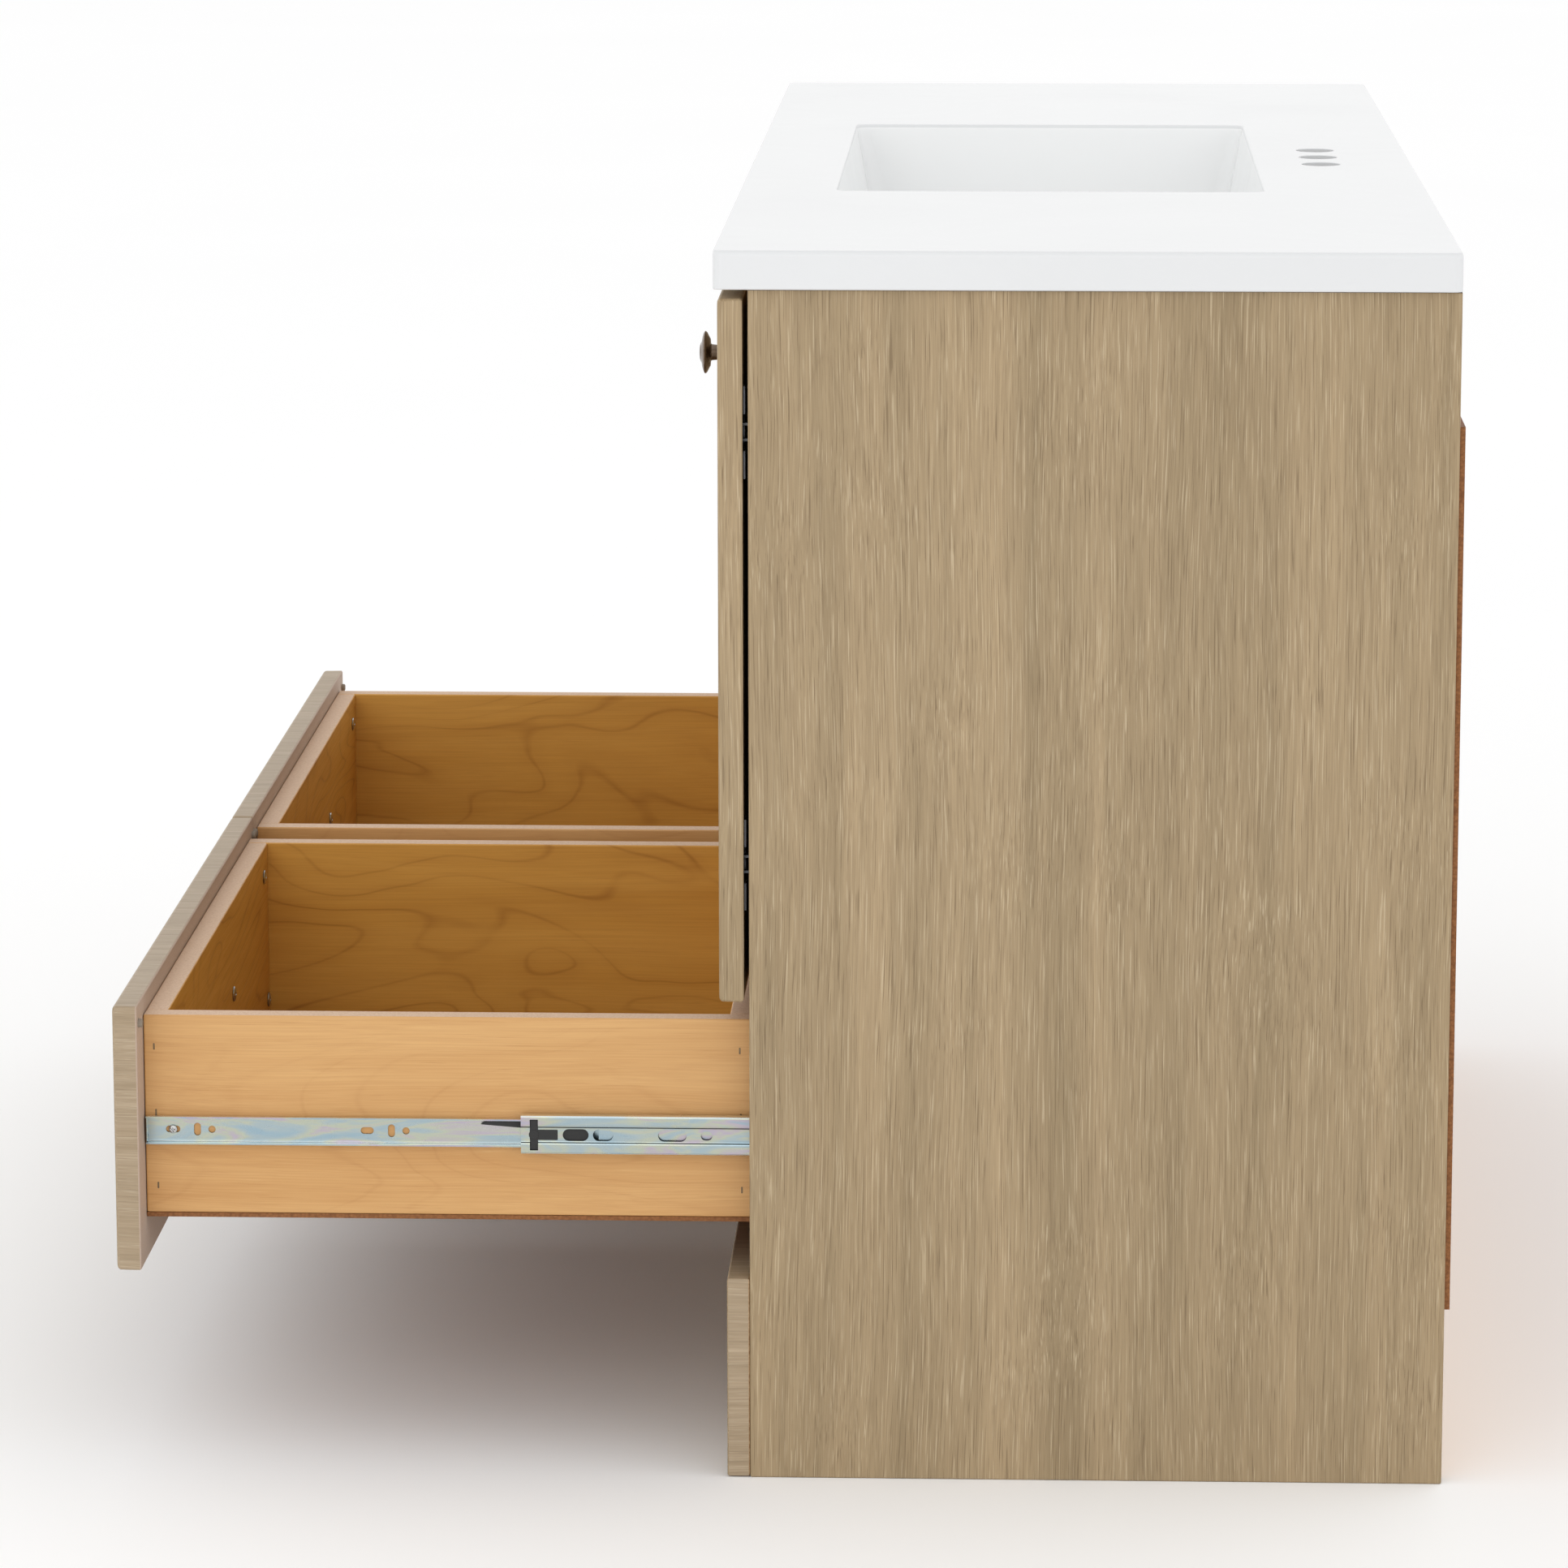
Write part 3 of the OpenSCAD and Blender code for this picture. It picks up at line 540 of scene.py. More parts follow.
def varnished_maple(name: str, grain: Grain, shift: tuple) -> WoodFoil:
    """Deeper maple print of the faces inside the drawer boxes, with clear ring figure."""
    return WoodFoil(name, 0.38, tone(220, 166, 78), tone(203, 147, 60), tone(150, 92, 26),
                    grain, shift, band=20.0, band_length=2.2, arch=6.5, arch_length=2.0,
                    arch_share=0.6, pore_cut=0.66, pore_share=0.16, fibre_share=0.18,
                    fleck=tone(226, 176, 96), fleck_share=0.1)


OAK_UP = oak("oak_print_upright", Grain.UP)
OAK_ACROSS = oak("oak_print_across", Grain.WIDE, (0.2, 0.1, 0.0))
MAPLE_DEEP = maple("maple_print_deep", Grain.DEEP, (0.02, 0.3, 0.01))
MAPLE_ACROSS = maple("maple_print_across", Grain.WIDE, (0.3, 0.02, 0.0))
MAPLE_UP = maple("maple_print_upright", Grain.UP, (0.1, 0.4, 0.0))
INSIDE_DEEP = varnished_maple("maple_inside_deep", Grain.DEEP, (0.31, 0.12, 0.4))
INSIDE_ACROSS = varnished_maple("maple_inside_across", Grain.WIDE, (0.5, 0.02, 0.3))
FRONT_EDGE = WoodFoil("front_edge_print", 0.42, tone(179, 159, 133), tone(161, 141, 114),
                      tone(124, 108, 84), Grain.DEEP, (0.0, 0.2, 0.0), band=170.0,
                      band_length=9.0, arch_share=0.08, pore_cut=0.6, pore_share=0.35,
                      fibre_share=0.4, fleck=tone(204, 190, 166), fleck_share=0.3)
# Hinge steel darkened well below its bright nickel: painted shade for the hinges seen in the gaps between
# the doors.
HINGE_STEEL_PAINTED_SHADE = PlatedSteel("hinge_plate", 0.34, tone(104, 106, 110), tone(96, 104, 112),
                          tone(116, 112, 100), tone(108, 100, 104), 0.2)
FRONT_BACK = PressedFibre("front_back_sheet", 0.55, tone(196, 176, 160), tone(184, 163, 146), 900.0)
RAW_EDGE = PressedFibre("raw_board_edge", 0.6, tone(222, 194, 168), tone(200, 168, 140), 700.0)
CHIPBOARD = PressedFibre("chipboard_edge", 0.75, tone(196, 166, 128), tone(140, 106, 70), 420.0)
HARDBOARD = PressedFibre("hardboard_sheet", 0.5, tone(158, 106, 62), tone(112, 68, 34), 500.0)
# The top's gel coat is set darker than the bowl's: painted shade on the top, against its strong light.
GEL_TOP_PAINTED_SHADE = MouldedGel("white_gel_coat", 0.16, tone(218, 219, 220), tone(217, 218, 219))
ZINC = PlatedSteel("zinc_plate", 0.26, tone(166, 180, 183), tone(144, 172, 188),
                   tone(190, 190, 160), tone(188, 166, 184), 0.65)
# Darkened copy of the zinc: painted shade for the creases and window rims of the slides.
ZINC_PAINTED_SHADE = PlatedSteel("zinc_crease", 0.4, tone(70, 80, 82), tone(60, 74, 80),
                         tone(84, 80, 68), tone(80, 70, 78), 0.5)
# Brightened copy of the zinc: painted highlight for the bends of the lips.
ZINC_PAINTED_HIGHLIGHT = PlatedSteel("zinc_bend", 0.2, tone(226, 234, 236), tone(214, 230, 236),
                          tone(236, 236, 222), tone(234, 226, 234), 0.5)
SCREW_STEEL = PlatedSteel("screw_plate", 0.24, tone(176, 180, 186), sheen=0.25)
STAPLE_STEEL = PlatedSteel("staple_wire", 0.4, tone(120, 104, 84), tone(90, 80, 70),
                           tone(130, 110, 80), tone(110, 90, 70), 0.5)
KNOB_METAL = BrushedKnob("brushed_dark_nickel", 0.22, tone(132, 116, 102), tone(84, 71, 60))
# Brighter copy of the same gel coat for the bowl: painted light against the shade in the bowl.
GEL_BOWL_PAINTED_LIGHT = MouldedGel("white_gel_bowl", 0.16, tone(236, 237, 237), tone(235, 236, 236))
BLACK_PLASTIC = MouldedPlastic("black_plastic", 0.5, tone(6, 6, 6), tone(13, 13, 14), gloss=0.03)
# Dark brown adhesive: a real bead whose darkness also paints the shade in the joint under the top.
ADHESIVE_PAINTED_SHADE = MouldedPlastic("brown_adhesive", 0.6, tone(54, 42, 32), tone(74, 60, 46), 0.0001, 0.2)
GREY_RUBBER = MouldedPlastic("grey_rubber", 0.62, tone(138, 126, 112), tone(158, 146, 130), 0.0001)
WHITE_PLASTIC = MouldedPlastic("white_plastic", 0.45, tone(232, 230, 224), tone(222, 219, 211))
CAST_BACK = MouldedPlastic("cast_stone_back", 0.7, tone(226, 224, 218), tone(205, 202, 194), 0.0004)
OAK_BACK = oak("oak_print_back", Grain.UP, (0.7, 0.3, 0.2))
FLOOR = StudioFloor("studio_floor", 0.9)


# ---- Mesh helpers ----


QUARTER_TURN = tuple(math.pi / 2 * i / 6 for i in range(7))
FRONT_ROUND = 0.0026  # radius of the outer edges of doors and drawer fronts, in metres


def in_scene(name: str, data: Any, finishes: Sequence[Finish] = ()) -> bpy.types.Object:
    """Makes an object of its data, links it into the scene and gives it its finishes."""
    made = bpy.data.objects.new(name, data)
    bpy.context.scene.collection.objects.link(made)
    for finish in finishes:
        data.materials.append(finish.material())
    return made


def cut_out(made: bpy.types.Object, cutter: bpy.types.Object) -> None:
    """Adds the modifier that takes a closed shape out of an object."""
    cut = made.modifiers.new("cut", "BOOLEAN")
    cut.operation, cut.object, cut.solver = "DIFFERENCE", cutter, "EXACT"


class Skin:
    """Collects points and faces of one piece and makes the finished object."""

    def __init__(self, name: str) -> None:
        """Starts an empty piece.

        Args:
            name: The piece's name.
        """
        self.name = name
        self.points: list[Vector] = []
        self.faces: list[tuple[list[int], int]] = []

    def ring(self, points: Iterable[Vector]) -> list[int]:
        """Adds the points of a ring and returns their numbers."""
        start = len(self.points)
        self.points.extend(points)
        return list(range(start, len(self.points)))

    def bridge(self, first: list[int], second: list[int], slot: int = 0) -> None:
        """Joins two closed rings of as many points with quads."""
        count = len(first)
        for i in range(count):
            j = (i + 1) % count
            self.faces.append(([first[i], first[j], second[j], second[i]], slot))

    def cap(self, ring: list[int], slot: int = 0) -> None:
        """Closes a ring with one flat face."""
        self.faces.append((list(ring), slot))

    def skin(self, rings: Sequence[Iterable[Vector]], slots: Sequence[int] | int = 0,
             closed: bool = False) -> None:
        """Bridges a row of rings and caps its ends, or joins the last to the first.

        Args:
            rings: Rings of as many points each.
            slots: Finish number of each bridge, or one for all.
            closed: True to join the last ring to the first.
        """
        made = [self.ring(r) for r in rings]
        count = len(made) if closed else len(made) - 1
        for i in range(count):
            slot = slots if isinstance(slots, int) else slots[i]
            self.bridge(made[i], made[(i + 1) % len(made)], slot)
        if not closed:
            first, last = (slots, slots) if isinstance(slots, int) else (slots[0], slots[-1])
            self.cap(made[0], first)
            self.cap(made[-1], last)

    def build(self, finishes: Sequence[Finish], crease: float = 32.0,
              cutters: Sequence[bpy.types.Object] = ()) -> bpy.types.Object:
        """Makes the object, with its normals outward and its flat faces kept flat.

        Args:
            finishes: The piece's finishes in the order of the face numbers.
            crease: Angle in degrees past which an edge shows sharp.
            cutters: Closed shapes to cut out; they are removed.

        Returns:
            The finished object at the origin.
        """
        mesh = bpy.data.meshes.new(self.name)
        mesh.from_pydata([tuple(p) for p in self.points], [], [f for f, _ in self.faces])
        mesh.polygons.foreach_set("material_index", [s for _, s in self.faces])
        work = bmesh.new()
        work.from_mesh(mesh)
        bmesh.ops.remove_doubles(work, verts=work.verts, dist=1e-7)
        bmesh.ops.dissolve_degenerate(work, dist=1e-8, edges=work.edges)
        bmesh.ops.recalc_face_normals(work, faces=work.faces)
        work.to_mesh(mesh)
        work.free()
        made = in_scene(self.name, mesh, finishes)
        for cutter in cutters:
            cut_out(made, cutter)
        return settle(made, crease, cutters)


def settle(made: bpy.types.Object, crease: float = 32.0,
           helpers: Sequence[bpy.types.Object] = ()) -> bpy.types.Object:
    """Applies a piece's modifiers, marks its sharp edges and weighs its normals by face.

    Args:
        made: The piece.
        crease: Angle in degrees past which an edge shows sharp.
        helpers: Objects to remove afterwards.

    Returns:
        The same piece.
    """
    apply_modifiers(made)
    made.data.polygons.foreach_set("use_smooth", [True] * len(made.data.polygons))
    made.data.set_sharp_from_angle(angle=math.radians(crease))
    weigh = made.modifiers.new("weigh", "WEIGHTED_NORMAL")
    weigh.keep_sharp, weigh.weight = True, 100
    apply_modifiers(made)
    for helper in helpers:
        bpy.data.objects.remove(helper)
    return made


def apply_modifiers(made: bpy.types.Object) -> None:
    """Turns a piece and its modifiers into a plain mesh."""
    if not made.modifiers:
        return
    bpy.context.view_layer.update()
    depsgraph = bpy.context.evaluated_depsgraph_get()
    mesh = bpy.data.meshes.new_from_object(made.evaluated_get(depsgraph),
                                           preserve_all_data_layers=True, depsgraph=depsgraph)
    made.modifiers.clear()
    old, made.data = made.data, mesh
    bpy.data.meshes.remove(old)


def join(name: str, parts: Sequence[bpy.types.Object]) -> bpy.types.Object:
    """Joins finished parts of one body into one piece.

    Args:
        name: The piece's name.
        parts: Finished parts.

    Returns:
        The joined piece.
    """
    with bpy.context.temp_override(active_object=parts[0], selected_editable_objects=list(parts),
                                   object=parts[0], selected_objects=list(parts)):
        bpy.ops.object.join()
    parts[0].name = parts[0].data.name = name
    return parts[0]


def place(piece: bpy.types.Object, body: str, slot: str, *nodes: str) -> bpy.types.Object:
    """Rides a piece on its body and hides the CAD nodes it stands for."""
    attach(piece, body)
    if nodes:
        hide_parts(*nodes)
    log.info("%s rides on %s, %d faces", piece.name, body, len(piece.data.polygons))
    return piece


def soft_rect(half_w: float, half_d: float, radius: float, steps: int = 6) -> list[tuple[float, float]]:
    """Points of a rectangle with round corners about the origin.

    Args:
        half_w: Half its width.
        half_d: Half its depth.
        radius: Corner radius.
        steps: Pieces per corner.

    Returns:
        The points in order.
    """
    radius = max(min(radius, half_w, half_d), 1e-6)
    points = []
    for corner, (sx, sy) in enumerate(((1, 1), (-1, 1), (-1, -1), (1, -1))):
        for i in range(steps + 1):
            angle = math.pi / 2 * (corner + i / steps)
            points.append((sx * (half_w - radius) + radius * math.cos(angle),
                           sy * (half_d - radius) + radius * math.sin(angle)))
    return points


def eased(stations: Sequence[tuple], rounds: dict[int, float], steps: int = 6) -> list[tuple]:
    """Rounds chosen corners of a row of stations with a smooth curve.

    Args:
        stations: Rows of numbers, such as half width, half depth, corner radius and height.
        rounds: Station number to how far the rounding starts before and after it.
        steps: Pieces per rounding.

    Returns:
        The longer row of stations.
    """
    out: list[tuple] = []
    for i, station in enumerate(stations):
        if i not in rounds:
            out.append(tuple(station))
            continue
        here, before, after = (Vector(stations[k % len(stations)]) for k in (i, i - 1, i + 1))
        start = here + (before - here) * min(rounds[i] / (before - here).length, 0.5)
        end = here + (after - here) * min(rounds[i] / (after - here).length, 0.5)
        for k in range(steps + 1):
            t = k / steps
            out.append(tuple(start * (1 - t) ** 2 + here * 2 * t * (1 - t) + end * t * t))
    return out


def rod(name: str, start: Vector, end: Vector, stations: Sequence[tuple[float, float]],
        finishes: Sequence[Finish], sides: int = 32) -> bpy.types.Object:
    """Turned piece about a line.

    Args:
        name: The piece's name.
        start: Where the line starts.
        end: A point further along the line.
        stations: Pairs of distance along the line and radius.
        finishes: The piece's finishes.
        sides: Pieces round it.

    Returns:
        The finished object.
    """
    along = (end - start).normalized()
    side = along.orthogonal().normalized()
    other = along.cross(side)
    skin = Skin(name)
    skin.skin([[start + along * d + (side * math.cos(a) + other * math.sin(a)) * max(r, 2e-5)
                for a in (2 * math.pi * i / sides for i in range(sides))] for d, r in stations])
    return skin.build(finishes)


def capsule(name: str, centre: Vector, length: float, height: float, depth: float,
            corner: float | None = None) -> bpy.types.Object:
    """Cutter for a slot through a web, in Y and Z, and depth long in X; round-ended by default."""
    skin = Skin(name)
    outline = soft_rect(length / 2, height / 2, corner or min(length, height) / 2, 8)
    skin.skin([[centre + Vector((x, a, b)) for a, b in outline] for x in (-depth / 2, depth / 2)])
    return skin.build([ZINC])


class Side(Enum):
    """Faces of a board, as numbers of its finishes."""

    FACE = 0
    EDGE = 1
    TOP = 2
    BACK = 3


@dataclass
class Board:
    """A board with eased edges.

    Attributes:
        name: The piece's name.
        low: Its lowest corner.
        high: Its highest corner.
        thin: Axis number of its thickness.
        finishes: Finishes of its face, edges, top edge and back face.
        ease: Radius of its edges.
        front: 1 or -1, the side of the thin axis that is the face; 0 if both are.
    """

    name: str
    low: Vector
    high: Vector
    thin: int
    finishes: Sequence[Finish]
    ease: float = 0.0006
    front: int = 0

    def build(self) -> bpy.types.Object:
        """Makes the board and numbers its faces by the way they look."""
        work = bmesh.new()
        bmesh.ops.create_cube(work, size=1.0)
        size = self.high - self.low
        middle = (self.high + self.low) / 2
        for vert in work.verts:
            vert.co = Vector([middle[i] + vert.co[i] * size[i] for i in range(3)])
        bmesh.ops.bevel(work, geom=list(work.edges), offset=self.ease, segments=3, profile=0.5,
                        affect="EDGES", clamp_overlap=True)
        bmesh.ops.recalc_face_normals(work, faces=work.faces)
        for face in work.faces:
            face.material_index = self.side(face.normal).value
        mesh = bpy.data.meshes.new(self.name)
        work.to_mesh(mesh)
        work.free()
        return settle(in_scene(self.name, mesh, self.finishes))

    def side(self, normal: Vector) -> Side:
        """Says which side of the board a face with this normal belongs to."""
        if abs(normal[self.thin]) > 0.5:
            return Side.BACK if self.front and normal[self.thin] * self.front < 0 else Side.FACE
        return Side.TOP if self.thin != 2 and normal.z > 0.5 else Side.EDGE


# ---- Geometry Nodes: fasteners and ball rows ----


class Geometry:
    """Builds a Geometry Nodes tree and turns what it makes into a plain mesh."""

    def __init__(self, name: str, inputs: dict[str, tuple[str, Any]]) -> None:
        """Starts the tree with named inputs.

        Args:
            name: The tree's name.
            inputs: Input name to socket type and value.
        """
        self.tree = bpy.data.node_groups.new(name, "GeometryNodeTree")
        face = self.tree.interface
        face.new_socket("Geometry", in_out="INPUT", socket_type="NodeSocketGeometry")
        self.keys = {key: (face.new_socket(key, in_out="INPUT", socket_type=kind).identifier, value)
                     for key, (kind, value) in inputs.items()}
        face.new_socket("Geometry", in_out="OUTPUT", socket_type="NodeSocketGeometry")
        self.graph = Graph(self.tree)
        self.given = self.graph.add("NodeGroupInput").outputs

    def end(self, geometry: Any, finish: Any) -> None:
        """Ends the tree with Realize Instances and Set Material."""
        real = self.graph.add("GeometryNodeRealizeInstances", {"Geometry": geometry}).outputs[0]
        dressed = self.graph.add("GeometryNodeSetMaterial", {"Geometry": real, "Material": finish})
        self.graph.add("NodeGroupOutput", {"Geometry": dressed.outputs[0]})

    def apply(self, made: bpy.types.Object, crease: float = 32.0) -> bpy.types.Object:
        """Runs the tree on an object and leaves the plain mesh in it."""
        modifier = made.modifiers.new("grow", "NODES")
        modifier.node_group = self.tree
        for identifier, value in self.keys.values():
            modifier[identifier] = value
        return settle(made, crease)


@dataclass
class Fasteners:
    """Copies of one fastener, each at its own place.

    Attributes:
        name: The piece's name.
        pattern: The fastener, its seat at the origin and its head towards +Z.
        finish: Its finish.
        places: Pairs of seat point and the direction the head faces.
    """

    name: str
    pattern: bpy.types.Object
    finish: Finish
    places: list[tuple[Vector, Vector]]

    def build(self) -> bpy.types.Object:
        """Sets the pattern on each place with Geometry Nodes."""
        mesh = bpy.data.meshes.new(self.name)
        mesh.from_pydata([tuple(p) for p, _ in self.places], [], [])
        turn = mesh.attributes.new("turn", "FLOAT_VECTOR", "POINT")
        for i, (_, way) in enumerate(self.places):
            turn.data[i].vector = way.to_track_quat("Z", "Y").to_euler()
        made = in_scene(self.name, mesh)
        nodes = Geometry(self.name + "_tree", {
            "Fastener": ("NodeSocketObject", self.pattern), "Scale": ("NodeSocketFloat", 1.0),
            "Finish": ("NodeSocketMaterial", self.finish.material())})
        graph, given = nodes.graph, nodes.given
        model = graph.add("GeometryNodeObjectInfo", {"Object": given["Fastener"]})
        angle = graph.add("GeometryNodeInputNamedAttribute", {"Name": "turn"},
                          data_type="FLOAT_VECTOR").outputs[0]
        spin = graph.add("FunctionNodeEulerToRotation", {0: angle}).outputs[0]
        points = graph.add("GeometryNodeMeshToPoints", {0: given["Geometry"]}).outputs[0]
        copies = graph.add("GeometryNodeInstanceOnPoints", {
            "Points": points, "Instance": model.outputs["Geometry"], "Rotation": spin,
            "Scale": given["Scale"]}).outputs[0]
        nodes.end(copies, given["Finish"])
        nodes.apply(made)
        bpy.data.objects.remove(self.pattern)
        return made


@dataclass
class BallRow:
    """A row of bearing balls along Y.

    Attributes:
        name: The row's name.
        start: The first ball's centre.
        length: How far the row runs.
        count: How many balls.
        diameter: Each ball's diameter.
    """

    name: str
    start: Vector
    length: float
    count: int
    diameter: float

    def build(self) -> bpy.types.Object:
        """Lays the balls along a line with Geometry Nodes."""
        made = in_scene(self.name, bpy.data.meshes.new(self.name))
        nodes = Geometry(self.name + "_tree", {
            "Count": ("NodeSocketInt", self.count), "Start": ("NodeSocketVector", self.start),
            "Step": ("NodeSocketVector", Vector((0, self.length / (self.count - 1), 0))),
            "Radius": ("NodeSocketFloat", self.diameter / 2),
            "Finish": ("NodeSocketMaterial", SCREW_STEEL.material())})
        graph, given = nodes.graph, nodes.given
        line = graph.add("GeometryNodeMeshLine", {"Count": given["Count"],
                                                  "Start Location": given["Start"],
                                                  "Offset": given["Step"]}).outputs[0]
        ball = graph.add("GeometryNodeMeshIcoSphere", {"Radius": given["Radius"],
                                                       "Subdivisions": 2}).outputs[0]
        copies = graph.add("GeometryNodeInstanceOnPoints",
                           {"Points": line, "Instance": ball}).outputs[0]
        nodes.end(copies, given["Finish"])
        return nodes.apply(made, 60.0)


# ---- Moulded top ----


@dataclass
class MouldedTop:
    """One-piece top: slab, rectangular basin, drain hole and three tap holes. Sizes in mm.

    Attributes:
        basin_w: Basin opening along the width.
        basin_d: Basin opening from front to back.
        basin_y: Middle of the basin from the wall.
        wall_h: Depth of the walls.
        fall: Extra depth at the drain.
        lean_end: Inward lean of the end walls.
        lean_side: Inward lean of the front and back walls.
        shell: Wall thickness.
        boss: How far the drain boss stands down.
    """

    basin_w: float = 487.0
    basin_d: float = 296.0
    basin_y: float = -261.0
    wall_h: float = 112.0
    fall: float = 14.0
    lean_end: float = 34.0
    lean_side: float = 22.0
    shell: float = 12.0
    boss: float = 6.0
    mounts: list[dict] = field(default_factory=lambda: frame["record"]["mounts"])

    def profile(self) -> list[tuple]:
        """Stations from the drain up the bowl, over the slab and back underneath.

        Returns:
            Rows of half width, half depth, corner radius, height and middle in Y, in mm.
        """
        low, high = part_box("vanity_top")
        half_w, slab_d, top = high.x / MM - 1e-4, (high.y - low.y) / MM - 2e-4, high.z / MM - 1e-4
        middle = (high.y + low.y) / 2 / MM
        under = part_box("right_side_panel")[1].z / MM
        drain = next(m for m in self.mounts if m["name"] == "drain")["dims"]["r_mm"]
        bw, bd, y, t = self.basin_w / 2, self.basin_d / 2, self.basin_y, self.shell
        foot, floor = top - self.wall_h, top - self.wall_h - self.fall
        base = floor - t - self.boss
        fw, fd = bw - self.lean_end, bd - self.lean_side
        start = drain + 6
        rows = [(drain, drain, drain, base, y), (drain, drain, drain, floor - 1.5, y),
                (start, start, start, floor, y)]
        rows += [(start + (fw - start) * s, start + (fd - start) * s,
                  start * (1 - s) + 26 * s, floor + (foot - floor) * s, y) for s in (0.4, 0.75)]
        rows += [(fw, fd, 20, foot, y), (bw, bd, 9, top, y),
                 (half_w, slab_d / 2, 5, top, middle), (half_w, slab_d / 2, 5, under, middle),
                 (bw + t, bd + t, 21, under, y), (fw + t, fd + t, 26, foot - t, y),
                 (drain + t, drain + t, drain + t, floor - t, y),
                 (drain + t, drain + t, drain + t, base, y)]
        return eased(rows, {1: 3, 2: 4, 5: 24, 6: 4.5, 7: 4.0, 8: 1.5, 10: 18, 11: 4}, 7)

    def tap_cutters(self) -> list[bpy.types.Object]:
        """Cutters for the tap holes, each with a small chamfer at the top."""
        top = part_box("vanity_top")[1].z
        cutters = []
        for mount in self.mounts:
            if not mount["name"].startswith("tap_hole"):
                continue
            radius = mount["dims"]["r_mm"] * MM
            start = Vector((mount["pos_m"][0], mount["pos_m"][1], top + 0.001))
            stations = [(0, radius + 0.0014), (0.001, radius + 0.0004), (0.0014, radius), (0.03, radius)]
            cutters.append(rod(mount["name"] + "_cutter", start, start - Vector((0, 0, 1)),
                               stations, [GEL_TOP_PAINTED_SHADE], 64))
        return cutters

    def build(self) -> None:
        """Makes the top; its underside is the rough cast stone."""
        rows = self.profile()
        rings = [[Vector((x, y + row[4], row[3])) * MM for x, y in soft_rect(*row[:3], steps=8)]
                 for row in rows]
        edge = max(i for i, row in enumerate(rows) if row[0] > 600 and row[3] > rows[-1][3] + 60)
        skin = Skin("basin_top")
        bowl = self.basin_w / 2 - 0.4
        skin.skin(rings, [1 if i > edge - 3 else 2 if row[0] < bowl else 0
                          for i, row in enumerate(rows)], closed=True)
        # Top and bowl take two copies of one gel coat, the top darker and the bowl brighter: painted
        # shade and painted light.
        top = skin.build([GEL_TOP_PAINTED_SHADE, CAST_BACK, GEL_BOWL_PAINTED_LIGHT], 38.0, self.tap_cutters())
        place(top, "cabinet", "moulded_top", "vanity_top")


# ---- Carcass ----


@dataclass
class Carcass:
    """Side panels, base board, floors, partitions, rails and back."""

    ease: float = 0.0008

    def panel(self, node: str, thin: int, finishes: Sequence[Finish], slot: str, front: int = 0,
              ease: float | None = None) -> None:
        """Makes one eased board in the place of its CAD node."""
        low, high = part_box(node)
        board = Board(node + "_board", low, high, thin, finishes, ease or self.ease, front)
        place(board.build(), "cabinet", slot, node)

    def beads(self) -> None:
        """Thin beads of adhesive that fill the eased corners under the top; their dark brown also paints
        the shade of the joint.
        """
        parts = []
        for side, sign in (("right", 1), ("left", -1)):
            low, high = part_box(f"{side}_side_panel")
            face = high.x if sign > 0 else low.x
            xs = sorted((face - sign * 0.0001, face - sign * 0.0013))
            parts.append(Board("bead", Vector((xs[0], low.y + 0.0004, high.z - 0.0012)),
                               Vector((xs[1], high.y - 0.0004, high.z - 0.00002)), 0,
                               [ADHESIVE_PAINTED_SHADE] * 3, 0.0003).build())
        place(join("adhesive_beads", parts), "cabinet", "oak_laminate")

    def build(self) -> None:
        """Makes the boards and dresses the notched ones, which keep their CAD shape."""
        sides = [OAK_UP, OAK_UP, CHIPBOARD, MAPLE_UP]
        self.panel("right_side_panel", 0, sides, "oak_laminate", 1, 0.0013)
        self.panel("left_side_panel", 0, sides, "oak_laminate", -1, 0.0013)
        self.beads()
        base = [OAK_ACROSS, FRONT_EDGE, FRONT_EDGE, CHIPBOARD]
        self.panel("base_board", 1, base, "oak_laminate", -1, 0.0016)
        for node in ("cabinet_floor", "deck_panel"):
            self.panel(node, 2, [MAPLE_ACROSS, MAPLE_ACROSS], "maple_board")
        self.panel("drawer_partition", 0, [MAPLE_UP, MAPLE_UP, CHIPBOARD], "maple_board")
        self.panel("front_rail", 1, [MAPLE_ACROSS, CHIPBOARD, CHIPBOARD], "maple_board")
        # The hinge arms take the darkened hinge steel, painted shade for the gaps.
        for node, finish in (("right_partition", MAPLE_UP), ("left_partition", MAPLE_UP),
                             ("back_rails", MAPLE_ACROSS), ("back_panel", HARDBOARD),
                             ("corner_blocks", WHITE_PLASTIC), ("hinge_arms", HINGE_STEEL_PAINTED_SHADE)):
            redress(node, finish)


def redress(node: str, finish: Finish) -> None:
    """Gives a CAD node that keeps its shape a better finish."""
    made = frame["nodes"][node]
    if not made.material_slots:
        made.data.materials.append(finish.material())
    for place_in in made.material_slots:
        place_in.material = finish.material()
    log.info("%s keeps its shape and takes %s", node, finish.name)


# ---- Slides ----


@dataclass(frozen=True)
class SlidePlace:
    """Where one slide sits. u counts from the cabinet's face towards the drawer box, w upwards.

    Attributes:
        face: X of the cabinet's face.
        way: 1 or -1, the side in X the drawer box is on.
        flip: 1, or -1 where the slide is upside down.
        level: Height of its middle line.
    """

    face: float
    way: int
    flip: int
    level: float

    def at(self, u: float, y: float, w: float) -> Vector:
        """A point of the slide in the room, from u and w in mm and y in metres."""
        return Vector((self.face + self.way * u * MM, y, self.level + self.flip * w * MM))

    def corners(self, first: tuple, second: tuple) -> tuple[Vector, ...]:
        """Lowest and highest corners of the block between two points, each of u, y and w."""
        a, b = self.at(*first), self.at(*second)
        return tuple(Vector([pick(a[k], b[k]) for k in range(3)]) for pick in (min, max))


